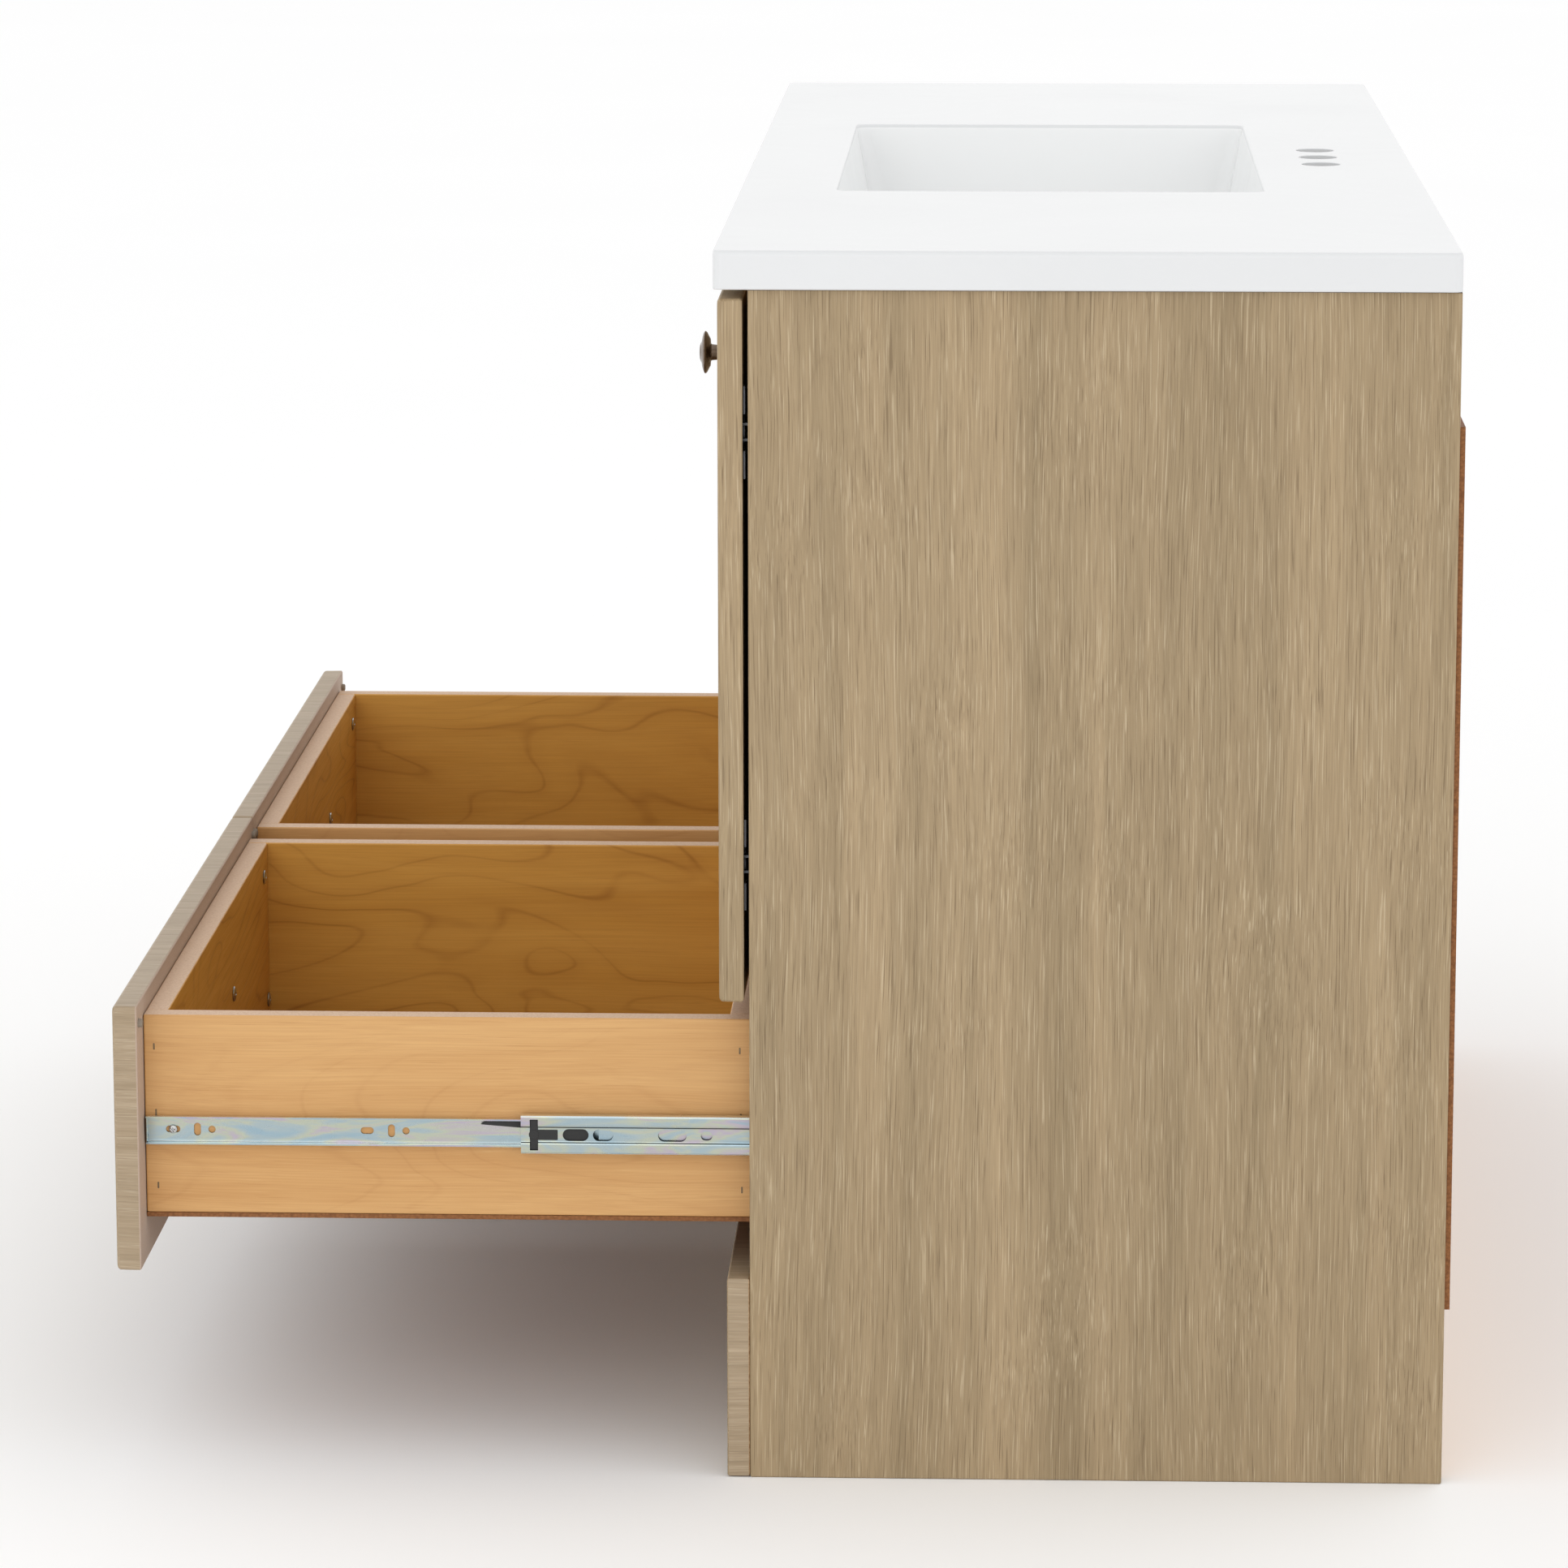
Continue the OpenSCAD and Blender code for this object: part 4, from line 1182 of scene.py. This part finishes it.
@dataclass
class Member:
    """One rolled steel member: a bent section drawn out along Y, with windows cut in its web.

    Attributes:
        name: The piece's name.
        seat: Where its slide sits.
        start: Y of its front end.
        length: Its length, in mm.
        path: Half of its middle line from the web out to the lip, as pairs of u and w in mm.
        windows: Rows of place, length and height of each window, in mm, and its corner radius in
            metres where its ends aren't round.
        steel: Steel thickness, in mm.
        bend: Bend radius, in mm.
    """

    name: str
    seat: SlidePlace
    start: float
    length: float
    path: list[tuple[float, float]]
    windows: list[tuple[float, ...]]
    steel: float = 1.1
    bend: float = 1.5

    def outline(self) -> list[tuple[float, float]]:
        """Closed outline of the bent section."""
        half_line = self.path[1:]
        line = [(u, w) for u, w in reversed(half_line)] + [(u, -w) for u, w in half_line]
        line = eased(line, {i: self.bend for i in range(1, len(line) - 1)}, 3)
        left, right = [], []
        for i, (u, w) in enumerate(line):
            a, b = line[max(i - 1, 0)], line[min(i + 1, len(line) - 1)]
            du, dw = b[0] - a[0], b[1] - a[1]
            size = math.hypot(du, dw) or 1.0
            half = self.steel / 2
            left.append((u - dw / size * half, w + du / size * half))
            right.append((u + dw / size * half, w - du / size * half))
        return left + right[::-1]

    def build(self) -> bpy.types.Object:
        """Draws out the section and cuts the windows."""
        outline = self.outline()
        skin = Skin(self.name)
        skin.skin([[self.seat.at(u, self.start + d * MM, w) for u, w in outline]
                   for d in (0.0, self.length)])
        web = self.path[0][0]
        cutters = [capsule(f"{self.name}_cut{i}", self.seat.at(web, self.start + d * MM, 0.0),
                           long * MM, high * MM, 5 * MM, *corner)
                   for i, (d, long, high, *corner) in enumerate(self.windows)]
        made = skin.build([ZINC, ZINC_PAINTED_SHADE, ZINC_PAINTED_HIGHLIGHT], 28.0, cutters)
        # Slot 1 paints shade into creases and window rims; slot 2 paints a highlight on the bends of the
        # lips.
        for face in made.data.polygons:
            face.material_index = self.band(face)
        return made

    def band(self, face: bpy.types.MeshPolygon) -> int:
        """Picks a face's finish: plain zinc, painted shade in creases and window rims, or a painted
        highlight on bends.
        """
        w = (face.center.z - self.seat.level) * self.seat.flip / MM
        outer = max(w_out for _, w_out in self.path) - 1.3
        flat = abs(face.normal.x) > 0.93
        if abs(face.normal.y) < 0.95 and not flat and abs(w) < outer:
            return 1
        return 2 if not flat and abs(w) >= outer else 0


@dataclass
class SlideSet:
    """The two slides of one drawer bay, with their balls, retainers and release levers.

    Attributes:
        side: "right" or "left".
        pin_at: Place of the lever's pin along the drawer member, in mm.
        length: Length of each member, in mm.
    """

    side: str
    pin_at: float = 262.0
    length: float = 396.0
    seats: list[SlidePlace] = field(init=False)

    def __post_init__(self) -> None:
        """Finds the two slides from the CAD panels."""
        sign = 1 if self.side == "right" else -1
        low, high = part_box("cabinet_slides")
        level = (low.z + high.z) / 2
        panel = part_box("right_side_panel")[0].x * sign
        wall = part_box("drawer_partition")[1].x * sign
        self.seats = [SlidePlace(panel, -sign, 1, level), SlidePlace(wall, sign, -1, level)]

    def cabinet_members(self) -> list[bpy.types.Object]:
        """Members fixed to the cabinet."""
        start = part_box("cabinet_slides")[0].y
        path = [(0.55, 0.0), (0.55, 16.95), (8.65, 16.95), (8.65, 14.8)]
        holes = [(place_at, 22, 7) for place_at in (60, 110, 210, 260, 300)]
        return [Member(f"{self.side}_cabinet_member{i}", seat, start, self.length, path,
                       holes).build() for i, seat in enumerate(self.seats)]

    def middle_members(self) -> list[bpy.types.Object]:
        """Middle members: raised raceways and a sunk web with its windows."""
        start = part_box(f"{self.side}_middle_slides")[0].y
        path = [(4.95, 0.0), (4.95, 4.9), (4.15, 5.9), (4.15, 12.45), (9.85, 12.45), (9.85, 11.0)]
        holes = [(8.6, 5.4, 20.8, 0.0003), (15, 18.4, 7, 0.0005), (36, 17, 8), (54, 13.3, 8),
                 (99.5, 18.7, 8), (122, 7.5, 6)]
        holes += [(place_at, 16, 8) for place_at in (190, 240, 300, 350)]
        return [Member(f"{self.side}_middle_member{i}", seat, start, self.length, path, holes,
                       bend=0.8).build() for i, seat in enumerate(self.seats)]

    def drawer_members(self) -> list[bpy.types.Object]:
        """Members screwed to the drawer box, each with its bent front tab and lever pin."""
        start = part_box(f"{self.side}_drawer_slides")[0].y
        path = [(12.15, 0.0), (12.15, 8.8), (7.3, 8.8)]
        holes = [(17.6, 9.5, 4.6), (33.7, 4.6, 8.6), (43.3, 4.8, 4.8), (145.8, 8.6, 4.6),
                 (161.8, 4.6, 8.6), (171.4, 4.8, 4.8), (310, 4.2, 4.2), (370, 4.2, 4.2)]
        parts = []
        for i, seat in enumerate(self.seats):
            parts.append(Member(f"{self.side}_drawer_member{i}", seat, start, self.length, path,
                                holes).build())
            tab = seat.corners((8.8, start, -8.0), (12.6, start + 1.1 * MM, 8.0))
            parts.append(Board(f"{self.side}_tab{i}", *tab, 1, [ZINC] * 3, 0.0004).build())
            y = start + self.pin_at * MM
            parts.append(rod(f"{self.side}_pin{i}", seat.at(12.0, y, 0), seat.at(7.9, y, 0),
                             [(0, 0.0015), (0.0036, 0.0015), (0.0041, 0.0011)], [ZINC], 20))
        return parts

    def retainer(self, seat: SlidePlace, index: int) -> list[bpy.types.Object]:
        """Black clip behind the middle member's front, with the cross that shows through."""
        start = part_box(f"{self.side}_middle_slides")[0].y
        plate = (3.2, 46, 10.8, 5.6, 6.5)
        upright = (6.0, 11.2, 10.2, 4.3, 6.0)
        crossbar = (11.0, 24, 3.4, 4.3, 6.0)
        parts = []
        for k, (d0, d1, w, u0, u1) in enumerate((plate, upright, crossbar)):
            block = seat.corners((u0, start + d0 * MM, -w), (u1, start + d1 * MM, w))
            parts.append(Board(f"clip{self.side}{index}{k}", *block, 0, [BLACK_PLASTIC] * 3,
                               0.0003).build())
        y = start + 8.6 * MM
        parts.append(rod(f"clip_boss{self.side}{index}", seat.at(6.0, y, 0), seat.at(4.0, y, 0),
                         [(0, 0.0034), (0.0016, 0.0034), (0.002, 0.003)], [BLACK_PLASTIC], 28))
        return parts

    def lever(self, index: int) -> bpy.types.Object:
        """Release lever: a thin blade that hugs the upper flange and turns about its pin."""
        seat = self.seats[index]
        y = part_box(f"{self.side}_drawer_slides")[0].y + self.pin_at * MM
        shape = [(-41, 5.6), (-37, 7.8), (-12, 7.8), (2, 3.8), (14, 3.0), (18, 1.8), (18, -1.4),
                 (15, -3.2), (2, -3.6), (-5, -2.6), (-13, 3.4)]
        outline = eased(shape + shape[:1], {i: 1.2 for i in range(1, len(shape))}, 3)[:-1]
        skin = Skin(f"{self.side}_{'outer' if index == 0 else 'inner'}_release_lever")
        skin.skin([[seat.at(u, y + (a * f - 1.0 * (1 - f)) * MM, b * f + 2.0 * (1 - f))
                    for a, b in outline]
                   for u, f in ((8.7, 0.975), (9.0, 1.0), (10.8, 1.0), (11.1, 0.975))])
        return skin.build([BLACK_PLASTIC])

    def balls(self) -> list[bpy.types.Object]:
        """Ball rows and their thin cages, which run with the middle members."""
        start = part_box(f"{self.side}_middle_slides")[0].y
        parts = []
        for i, seat in enumerate(self.seats):
            for k, (u, w, first, span, size, web) in enumerate(((6.5, 14.7, 168, 180, 3.1, 3.1),
                                                                (9.0, 10.6, 55, 80, 2.3, 6.9))):
                cage = [(web, 0.0), (web, w), (u + 1.4, w)]
                parts.append(Member(f"cage{self.side}{i}{k}", seat, start + (first - 4) * MM,
                                    span + 8, cage, [], 0.35, 0.8).build())
                for end in (-1, 1):
                    row = BallRow(f"balls{self.side}{i}{k}{end + 1}",
                                  seat.at(u, start + first * MM, end * w), span * MM,
                                  int(span / 8) + 1, size * MM)
                    parts.append(row.build())
        return parts

    def build(self) -> None:
        """Makes both slides of the bay."""
        s = self.side
        place(join(f"{s}_middle_rails", self.middle_members()), f"{s}_middle_slides",
              "zinc_steel", f"{s}_middle_slides")
        place(join(f"{s}_drawer_rails", self.drawer_members()), f"{s}_drawer", "zinc_steel",
              f"{s}_drawer_slides")
        clips = [part for i, seat in enumerate(self.seats) for part in self.retainer(seat, i)]
        place(join(f"{s}_slide_clips", clips), f"{s}_middle_slides", "black_plastic",
              f"{s}_slide_retainers")
        place(join(f"{s}_ball_rows", self.balls()), f"{s}_middle_slides", "zinc_steel")
        for i, name in enumerate(("outer", "inner")):
            place(self.lever(i), f"{s}_{name}_lever", "black_plastic", f"{s}_drawer_{name}_lever")


# ---- Fasteners ----


@dataclass(frozen=True)
class Screw:
    """Pan-head screw with a cross recess. Sizes in mm.

    Attributes:
        head: Head radius.
        rise: Head height.
        shank: Shank radius.
        length: Shank length.
        dish: How deep the recess is.
    """

    head: float
    rise: float
    shank: float
    length: float
    dish: float = 1.1

    def pattern(self, name: str, finish: Finish) -> bpy.types.Object:
        """Makes one screw, its seat at the origin and its head towards +Z."""
        r, h = self.head, self.rise
        stations = [(0, 0.6), (2, self.shank * 0.9), (self.length, self.shank),
                    (self.length, r * 0.93), (self.length + h * 0.25, r),
                    (self.length + h * 0.6, r * 0.93), (self.length + h * 0.88, r * 0.66),
                    (self.length + h, r * 0.3), (self.length + h, 0.0)]
        base = Vector((0, 0, -self.length * MM))
        body = rod(name, base, base + Vector((0, 0, 1)), [(d * MM, w * MM) for d, w in stations],
                   [finish], 24)
        arm, half = r * 0.5 * MM, max(r * 0.11, 0.35) * MM
        for turn in (0, 1):
            cut = Skin("recess")
            x, y = (arm, half) if turn == 0 else (half, arm)
            cut.skin([[Vector((sx * x * f, sy * y * f, z * MM)) for sx, sy in
                       ((1, 1), (-1, 1), (-1, -1), (1, -1))]
                      for z, f in ((h - self.dish, 0.6), (h + 0.5, 1.0))])
            cutter = cut.build([finish])
            cut_out(body, cutter)
            settle(body, helpers=[cutter])
        return body


def screws(name: str, screw: Screw, places: list[tuple[Vector, Vector]]) -> bpy.types.Object:
    """Sets copies of a screw at its places."""
    return Fasteners(name, screw.pattern(name + "_pattern", SCREW_STEEL), SCREW_STEEL, places).build()


# ---- Drawers ----


def wrapped_front(name: str, low: Vector, high: Vector, back: list[tuple], face: list[tuple],
                  slot: int = 0) -> Skin:
    """Skin of a door or drawer front, from its eased back over its round edges to its face.

    Args:
        name: The piece's name.
        low: Its lowest corner.
        high: Its highest corner.
        back: Rows of inset, Y and corner radius at the back, in metres.
        face: The same rows over the face.
        slot: Finish number of all its faces.

    Returns:
        The skin, not yet built.
    """
    mid, half = (low + high) / 2, (high - low) / 2
    edge = [(FRONT_ROUND * (1 - math.cos(a)), low.y + FRONT_ROUND * (1 - math.sin(a)), 0.0028)
            for a in QUARTER_TURN]
    skin = Skin(name)
    skin.skin([[Vector((mid.x + x, y, mid.z + z)) for x, z in
                soft_rect(half.x - inset, half.z - inset, radius, 5)]
               for inset, y, radius in back + edge + face], slot)
    return skin


@dataclass
class Drawer:
    """One pulled-out drawer: front, box, bottom, pull, screws, staples and bumpers.

    Attributes:
        side: "right" or "left".
        pitch: Distance between the pull's posts.
        bar: Radius of the pull's bar.
        post: Radius of its posts.
        front_screws: Big screws from each end and from the top of the box front, in mm.
        rail_screws: Small screws along the drawer members, in mm.
        staple_ends: Rows of staples from the front and the back end of the box sides.
        staple_drops: The two upper staples of a row from the top edge.
        staple_lift: The lowest staple of a row from the bottom edge.
    """

    side: str
    pitch: float = 0.128
    bar: float = 0.0055
    post: float = 0.0045
    front_screws: tuple = ((24, 21), (10, 117))
    rail_screws: tuple = (17.6, 310, 370)
    staple_ends: tuple = (0.0068, 0.0078)
    staple_drops: tuple = (0.0215, 0.066)
    staple_lift: float = 0.0185

    @property
    def sign(self) -> int:
        """1 for the right-hand drawer and -1 for the left-hand one."""
        return 1 if self.side == "right" else -1

    def node(self, part: str) -> str:
        """Name of one of the drawer's CAD nodes."""
        return f"{self.side}_drawer_{part}"

    def front(self) -> None:
        """Front panel with rounded outer edges and a plain back sheet."""
        low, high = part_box(self.node("front"))
        back = [(0.0008, high.y, 0.0014), (0.0, high.y - 0.0008, 0.0018)]
        face_rows = [(FRONT_ROUND + 0.004, low.y, 0.001)]
        skin = wrapped_front(self.node("front_panel"), low, high, back, face_rows, 1)
        panel = skin.build([FRONT_BACK, FRONT_EDGE, OAK_ACROSS])
        for face in panel.data.polygons:
            if abs(face.normal.y) > 0.7:
                face.material_index = 0 if face.normal.y > 0 else 2
        place(panel, f"{self.side}_drawer", "oak_laminate", self.node("front"))

    def box(self) -> None:
        """Box boards with rounded raw top edges, and the thin bottom."""
        body = f"{self.side}_drawer"
        for part, thin, out, foil, inside in (
                ("box_front", 1, -1, MAPLE_ACROSS, INSIDE_ACROSS),
                ("box_back", 1, 1, MAPLE_ACROSS, INSIDE_ACROSS),
                ("outer_side", 0, self.sign, MAPLE_DEEP, INSIDE_DEEP),
                ("inner_side", 0, -self.sign, MAPLE_DEEP, INSIDE_DEEP)):
            low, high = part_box(self.node(part))
            made = Board(self.node(part) + "_board", low, high, thin,
                         [foil, CHIPBOARD, RAW_EDGE, inside], 0.0013, out).build()
            place(made, body, "maple_board", self.node(part))
        low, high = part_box(self.node("bottom"))
        made = Board(self.node("bottom_sheet"), low, high, 2, [HARDBOARD, HARDBOARD], 0.0003).build()
        place(made, body, "hardboard", self.node("bottom"))

    def pull(self) -> None:
        """Round bar with domed ends on two flared posts."""
        low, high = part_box(self.node("pull"))
        x, z = (low.x + high.x) / 2, (low.z + high.z) / 2
        y = low.y + self.bar
        parts = []
        for end in (-1, 1):
            foot = Vector((x + end * self.pitch / 2, high.y, z))
            reach = high.y - y
            parts.append(rod("post", foot, foot - Vector((0, 1, 0)),
                             [(0, self.post + 0.0008), (0.0012, self.post + 0.0008),
                              (0.004, self.post - 0.0006), (reach * 0.8, self.post - 0.0006),
                              (reach, self.post)], [KNOB_METAL], 32))
        length = high.x - low.x
        dome = [(self.bar * (1 - math.cos(a)) * 0.5, self.bar * math.sin(a)) for a in QUARTER_TURN]
        stations = dome + [(length - d, r) for d, r in reversed(dome)]
        parts.append(rod("bar", Vector((low.x, y, z)), Vector((high.x, y, z)), stations,
                         [KNOB_METAL], 40))
        place(join(self.node("bar_pull"), parts), f"{self.side}_drawer", "knob_metal",
              self.node("pull"))

    def screws(self) -> None:
        """Big screws inside the box front and the small ones of the drawer members."""
        low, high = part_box(self.node("box_front"))
        mid = (low.x + high.x) / 2
        half = (high.x - low.x) / 2
        back = Vector((0, 1, 0))
        face, top = high.y, high.z
        places = [(Vector((mid + s * (half - a * MM), face, top - b * MM)), back)
                  for s in (-1, 1) for a, b in self.front_screws]
        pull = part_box(self.node("pull"))
        level, centre = (pull[0].z + pull[1].z) / 2, (pull[0].x + pull[1].x) / 2
        places += [(Vector((centre + s * self.pitch / 2, face, level)), back) for s in (-1, 1)]
        big = screws(self.node("front_screws"), Screw(5.5, 1.9, 1.7, 25.0, 1.4), places)
        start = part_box(self.node("slides"))[0].y
        small = []
        for seat in SlideSet(self.side).seats:
            small += [(seat.at(11.5, start + d * MM, 0.0), Vector((-seat.way, 0, 0)))
                      for d in self.rail_screws]
        slim = screws(self.node("rail_screws"), Screw(2.9, 1.6, 1.5, 11.0, 1.0), small)
        place(join(self.node("screw_set"), [big, slim]), f"{self.side}_drawer", "screw_steel",
              self.node("screws"))

    def staples(self) -> None:
        """Staple crowns sunk in the box sides where the ends are stapled."""
        wire = Skin("staple")
        ring = soft_rect(0.55 * MM, 2.2 * MM, 0.4 * MM, 3)
        wire.skin([[Vector((x, y, z)) for x, y in ring] for z in (-0.0006, 0.00012)])
        pattern = wire.build([STAPLE_STEEL])
        outer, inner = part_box(self.node("outer_side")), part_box(self.node("inner_side"))
        high, low = outer[1].z, outer[0].z
        places = []
        for x, way in ((outer[0].x if self.sign < 0 else outer[1].x, self.sign),
                       (inner[1].x if self.sign < 0 else inner[0].x, -self.sign)):
            for y in (outer[0].y + self.staple_ends[0], outer[1].y - self.staple_ends[1]):
                levels = [high - drop for drop in self.staple_drops] + [low + self.staple_lift]
                places += [(Vector((x, y + k * 0.0006, z)), Vector((way, 0, 0)))
                           for k, z in enumerate(levels)]
        made = Fasteners(self.node("staples"), pattern, STAPLE_STEEL, places).build()
        place(made, f"{self.side}_drawer", "screw_steel")

    def bumpers(self) -> None:
        """Small rubber bumpers on the back of the front."""
        low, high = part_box(self.node("bumpers"))
        z, r = (low.z + high.z) / 2, (high.z - low.z) / 2
        parts = []
        for x in (low.x + r, high.x - r):
            start = Vector((x, low.y, z))
            parts.append(rod("bumper", start, start + Vector((0, 1, 0)),
                             [(0, r), (0.0022, r * 0.97), (0.0027, r * 0.88), (0.003, r * 0.7)],
                             [GREY_RUBBER], 32))
        place(join(self.node("bumper_pair"), parts), f"{self.side}_drawer", "rubber_bumper",
              self.node("bumpers"))

    def build(self) -> None:
        """Makes the whole drawer."""
        for make in (self.front, self.box, self.pull, self.screws, self.staples, self.bumpers):
            make()


# ---- Doors ----


@dataclass
class Door:
    """One door with its knob and hinge parts. Sizes in metres.

    Attributes:
        name: The door's body name.
        frame_w: Width of the raised frame.
        recess: Depth of the middle field.
        cup_r: Radius of the hinge bores.
        link_half: Half the height of a hinge's link.
    """

    name: str
    frame_w: float = 0.057
    recess: float = 0.005
    cup_r: float = 0.0175
    link_half: float = 0.004

    def panel(self) -> None:
        """Wrapped door with a routed field, rounded outer edges and two hinge bores."""
        low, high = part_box(f"{self.name}_panel")
        f, sunk = self.frame_w, low.y + self.recess
        back = [(0.0012, high.y, 0.001), (0.0, high.y - 0.0012, 0.0016)]
        routed = eased([(f - 0.004, low.y, 0.002), (f, low.y, 0.003), (f + 0.0035, sunk, 0.003),
                        (f + 0.012, sunk, 0.003)], {1: 0.0015, 2: 0.002}, 5)
        skin = wrapped_front(f"{self.name}_leaf", low, high, back, routed)
        levels = self.hinge_levels()
        cutters = []
        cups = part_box(f"{self.name}_hinge_cups")
        x = (cups[0].x + cups[1].x) / 2
        depth = high.y - cups[0].y + 0.0001
        for z in levels:
            start = Vector((x, high.y + 0.002, z))
            cutters.append(rod("bore", start, start - Vector((0, 1, 0)),
                               [(0, self.cup_r), (depth + 0.002, self.cup_r)], [OAK_UP], 48))
        leaf = skin.build([OAK_UP, OAK_BACK, CHIPBOARD], 38.0, cutters)
        for face in leaf.data.polygons:
            inside = any(math.hypot(face.center.x - x, face.center.z - z) < self.cup_r + 1e-4
                         for z in levels)
            if face.center.y > low.y + 0.006 and inside:
                face.material_index = 2
            elif face.normal.y > 0.7 and face.center.y > high.y - 0.002:
                face.material_index = 1
        place(leaf, self.name, "oak_laminate", f"{self.name}_panel")

    def hinge_levels(self) -> list[float]:
        """Heights of the two hinges."""
        low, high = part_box(f"{self.name}_hinge_links")
        return [low.z + self.link_half, high.z - self.link_half]

    def knob(self) -> None:
        """Turned knob: waisted stem, thin disc with a chamfered back and a domed face."""
        low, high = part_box(f"{self.name}_knob")
        x, z = (low.x + high.x) / 2, (low.z + high.z) / 2
        out, r = (high.y - low.y) / MM, (high.x - low.x) / 2 / MM
        stem = 5.75
        stations = [(0, stem + 1.5), (1.2, stem + 1.4), (2.2, stem + 0.3), (5, stem - 0.6),
                    (10, stem - 0.9), (14.5, stem - 0.5), (out - 8.4, stem - 0.2),
                    (out - 7.8, stem + 0.4), (out - 7.5, r - 5.2), (out - 7.1, r - 4.5),
                    (out - 5.2, r - 0.9), (out - 4.5, r - 0.15), (out - 4.0, r), (out - 3.4, r - 0.3),
                    (out - 2.7, r - 1.6), (out - 2.0, r - 4.0), (out - 1.6, r - 6.4),
                    (out - 1.3, r - 7.6), (out - 0.7, r - 8.6), (out - 0.25, r - 10.0),
                    (out - 0.05, r - 12), (out, 0)]
        start = Vector((x, high.y, z))
        made = rod(f"{self.name}_turned_knob", start, start - Vector((0, 1, 0)),
                   [(d * MM, w * MM) for d, w in stations], [KNOB_METAL], 72)
        place(made, self.name, "knob_metal", f"{self.name}_knob")

    def build(self) -> None:
        """Makes the door and dresses its hinge parts, which keep their CAD shape."""
        self.panel()
        self.knob()
        # The hinge cups and links take the darkened hinge steel, painted shade for the gaps.
        redress(f"{self.name}_hinge_cups", HINGE_STEEL_PAINTED_SHADE)
        redress(f"{self.name}_hinge_links", HINGE_STEEL_PAINTED_SHADE)


@dataclass
class CabinetSteel:
    """Cabinet members of the slides and the screws of slides and hinge plates.

    Attributes:
        rail_screws: Screws along each member, in mm.
        plate_screw_z: A plate's screws above and below its hinge, in metres.
        plate_in: The plates' screws behind the side panel's front edge, in metres.
        plate_t: Plate thickness, in metres.
    """

    rail_screws: tuple = (30, 168, 330)
    plate_screw_z: float = 0.016
    plate_in: float = 0.037
    plate_t: float = 0.0025

    def build(self) -> None:
        """Makes the four cabinet members in one piece, and the screws in another."""
        sets = [SlideSet("right"), SlideSet("left")]
        parts = [part for one in sets for part in one.cabinet_members()]
        place(join("cabinet_rails", parts), "cabinet", "zinc_steel", "cabinet_slides")
        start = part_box("cabinet_slides")[0].y
        places = [(seat.at(1.1, start + d * MM, 0.0), Vector((seat.way, 0, 0)))
                  for one in sets for seat in one.seats for d in self.rail_screws]
        slim = screws("rail_screws", Screw(3.4, 1.6, 1.6, 7.0, 1.0), places)
        panel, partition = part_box("right_side_panel")[0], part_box("right_partition")[0]
        plates = [(Vector((sign * (face - self.plate_t), panel.y + self.plate_in,
                           z + step * self.plate_screw_z)), Vector((-sign, 0, 0)))
                  for sign in (-1, 1) for face in (panel.x, partition.x)
                  for z in Door("right_door").hinge_levels() for step in (-1, 1)]
        wide = screws("plate_screws", Screw(3.6, 1.8, 1.7, 12.0, 1.1), plates)
        place(join("cabinet_screw_set", [slim, wide]), "cabinet", "screw_steel", "cabinet_screws")


# ---- Studio ----


@dataclass
class Studio:
    """Pale floor, soft lights and the camera.

    Attributes:
        spot: Where the camera stands.
        turn: Its rotation.
        lens: Its focal length, in mm.
        shift: Its lens shift across and up.
    """

    spot: tuple = (4.53483, -0.27022, 1.25918)
    turn: tuple = (1.39174970, 0.0, 1.60402687)
    lens: float = 142.60
    shift: tuple = (-0.03, -0.08)

    def floor(self) -> None:
        """A wide pale floor."""
        skin = Skin("floor")
        ring = soft_rect(60.0, 60.0, 20.0, 8)
        skin.skin([[Vector((x * f, y * f, z)) for x, y in ring]
                   for f, z in ((1.0, -0.05), (1.0, 0.0))])
        made = skin.build([FLOOR])

    def light(self, name: str, spot: tuple, aim: tuple, size: float, power: float) -> None:
        """Adds one soft square light."""
        data = bpy.data.lights.new(name, "AREA")
        data.shape, data.size, data.energy = "SQUARE", size, power
        made = in_scene(name, data)
        made.location = spot
        made.rotation_euler = (Vector(aim) - Vector(spot)).to_track_quat("-Z", "Y").to_euler()

    def build(self) -> None:
        """Sets the scene, its lights and its camera."""
        scene = bpy.context.scene
        scene.view_settings.view_transform = "Standard"
        world = bpy.data.worlds.new("studio_air")
        world.use_nodes = True
        graph = Graph(world.node_tree)
        sky = graph.add("ShaderNodeTexCoord").outputs["Generated"]
        rise = graph.add("ShaderNodeSeparateXYZ", {0: sky}).outputs["Z"]
        back = graph.add("ShaderNodeBackground", {"Color": (1.0, 1.0, 1.0, 1.0),
                                                  "Strength": graph.range(rise, 0.3, 1.0, 1.09, 0.95)})
        graph.add("ShaderNodeOutputWorld", {"Surface": back.outputs[0]})
        scene.world = world
        self.floor()
        self.light("side_soft", (3.9, -1.2, 1.5), (0.4, -0.4, 0.5), 2.4, 17.0)
        self.light("back_soft", (1.6, 3.2, 1.9), (0.2, -0.3, 0.5), 2.2, 7.0)
        self.light("front_soft", (0.3, -3.6, 2.0), (0.0, -0.4, 0.4), 2.0, 4.0)
        data = bpy.data.cameras.new("camera")
        data.lens, data.sensor_width = self.lens, 36.0
        data.shift_x, data.shift_y = self.shift
        data.clip_end = 200.0
        camera = in_scene("camera", data)
        camera.location, camera.rotation_euler = self.spot, self.turn
        scene.camera = camera


def main() -> None:
    """Builds the studio and every sub-assembly in order."""
    logging.basicConfig(level=logging.INFO, format="%(message)s")
    Studio().build()
    MouldedTop().build()
    Carcass().build()
    CabinetSteel().build()
    for side in ("right", "left"):
        SlideSet(side).build()
        Drawer(side).build()
    for name in ("right_door", "centre_right_door", "centre_left_door", "left_door"):
        Door(name).build()


if __name__ == "__main__":
    main()
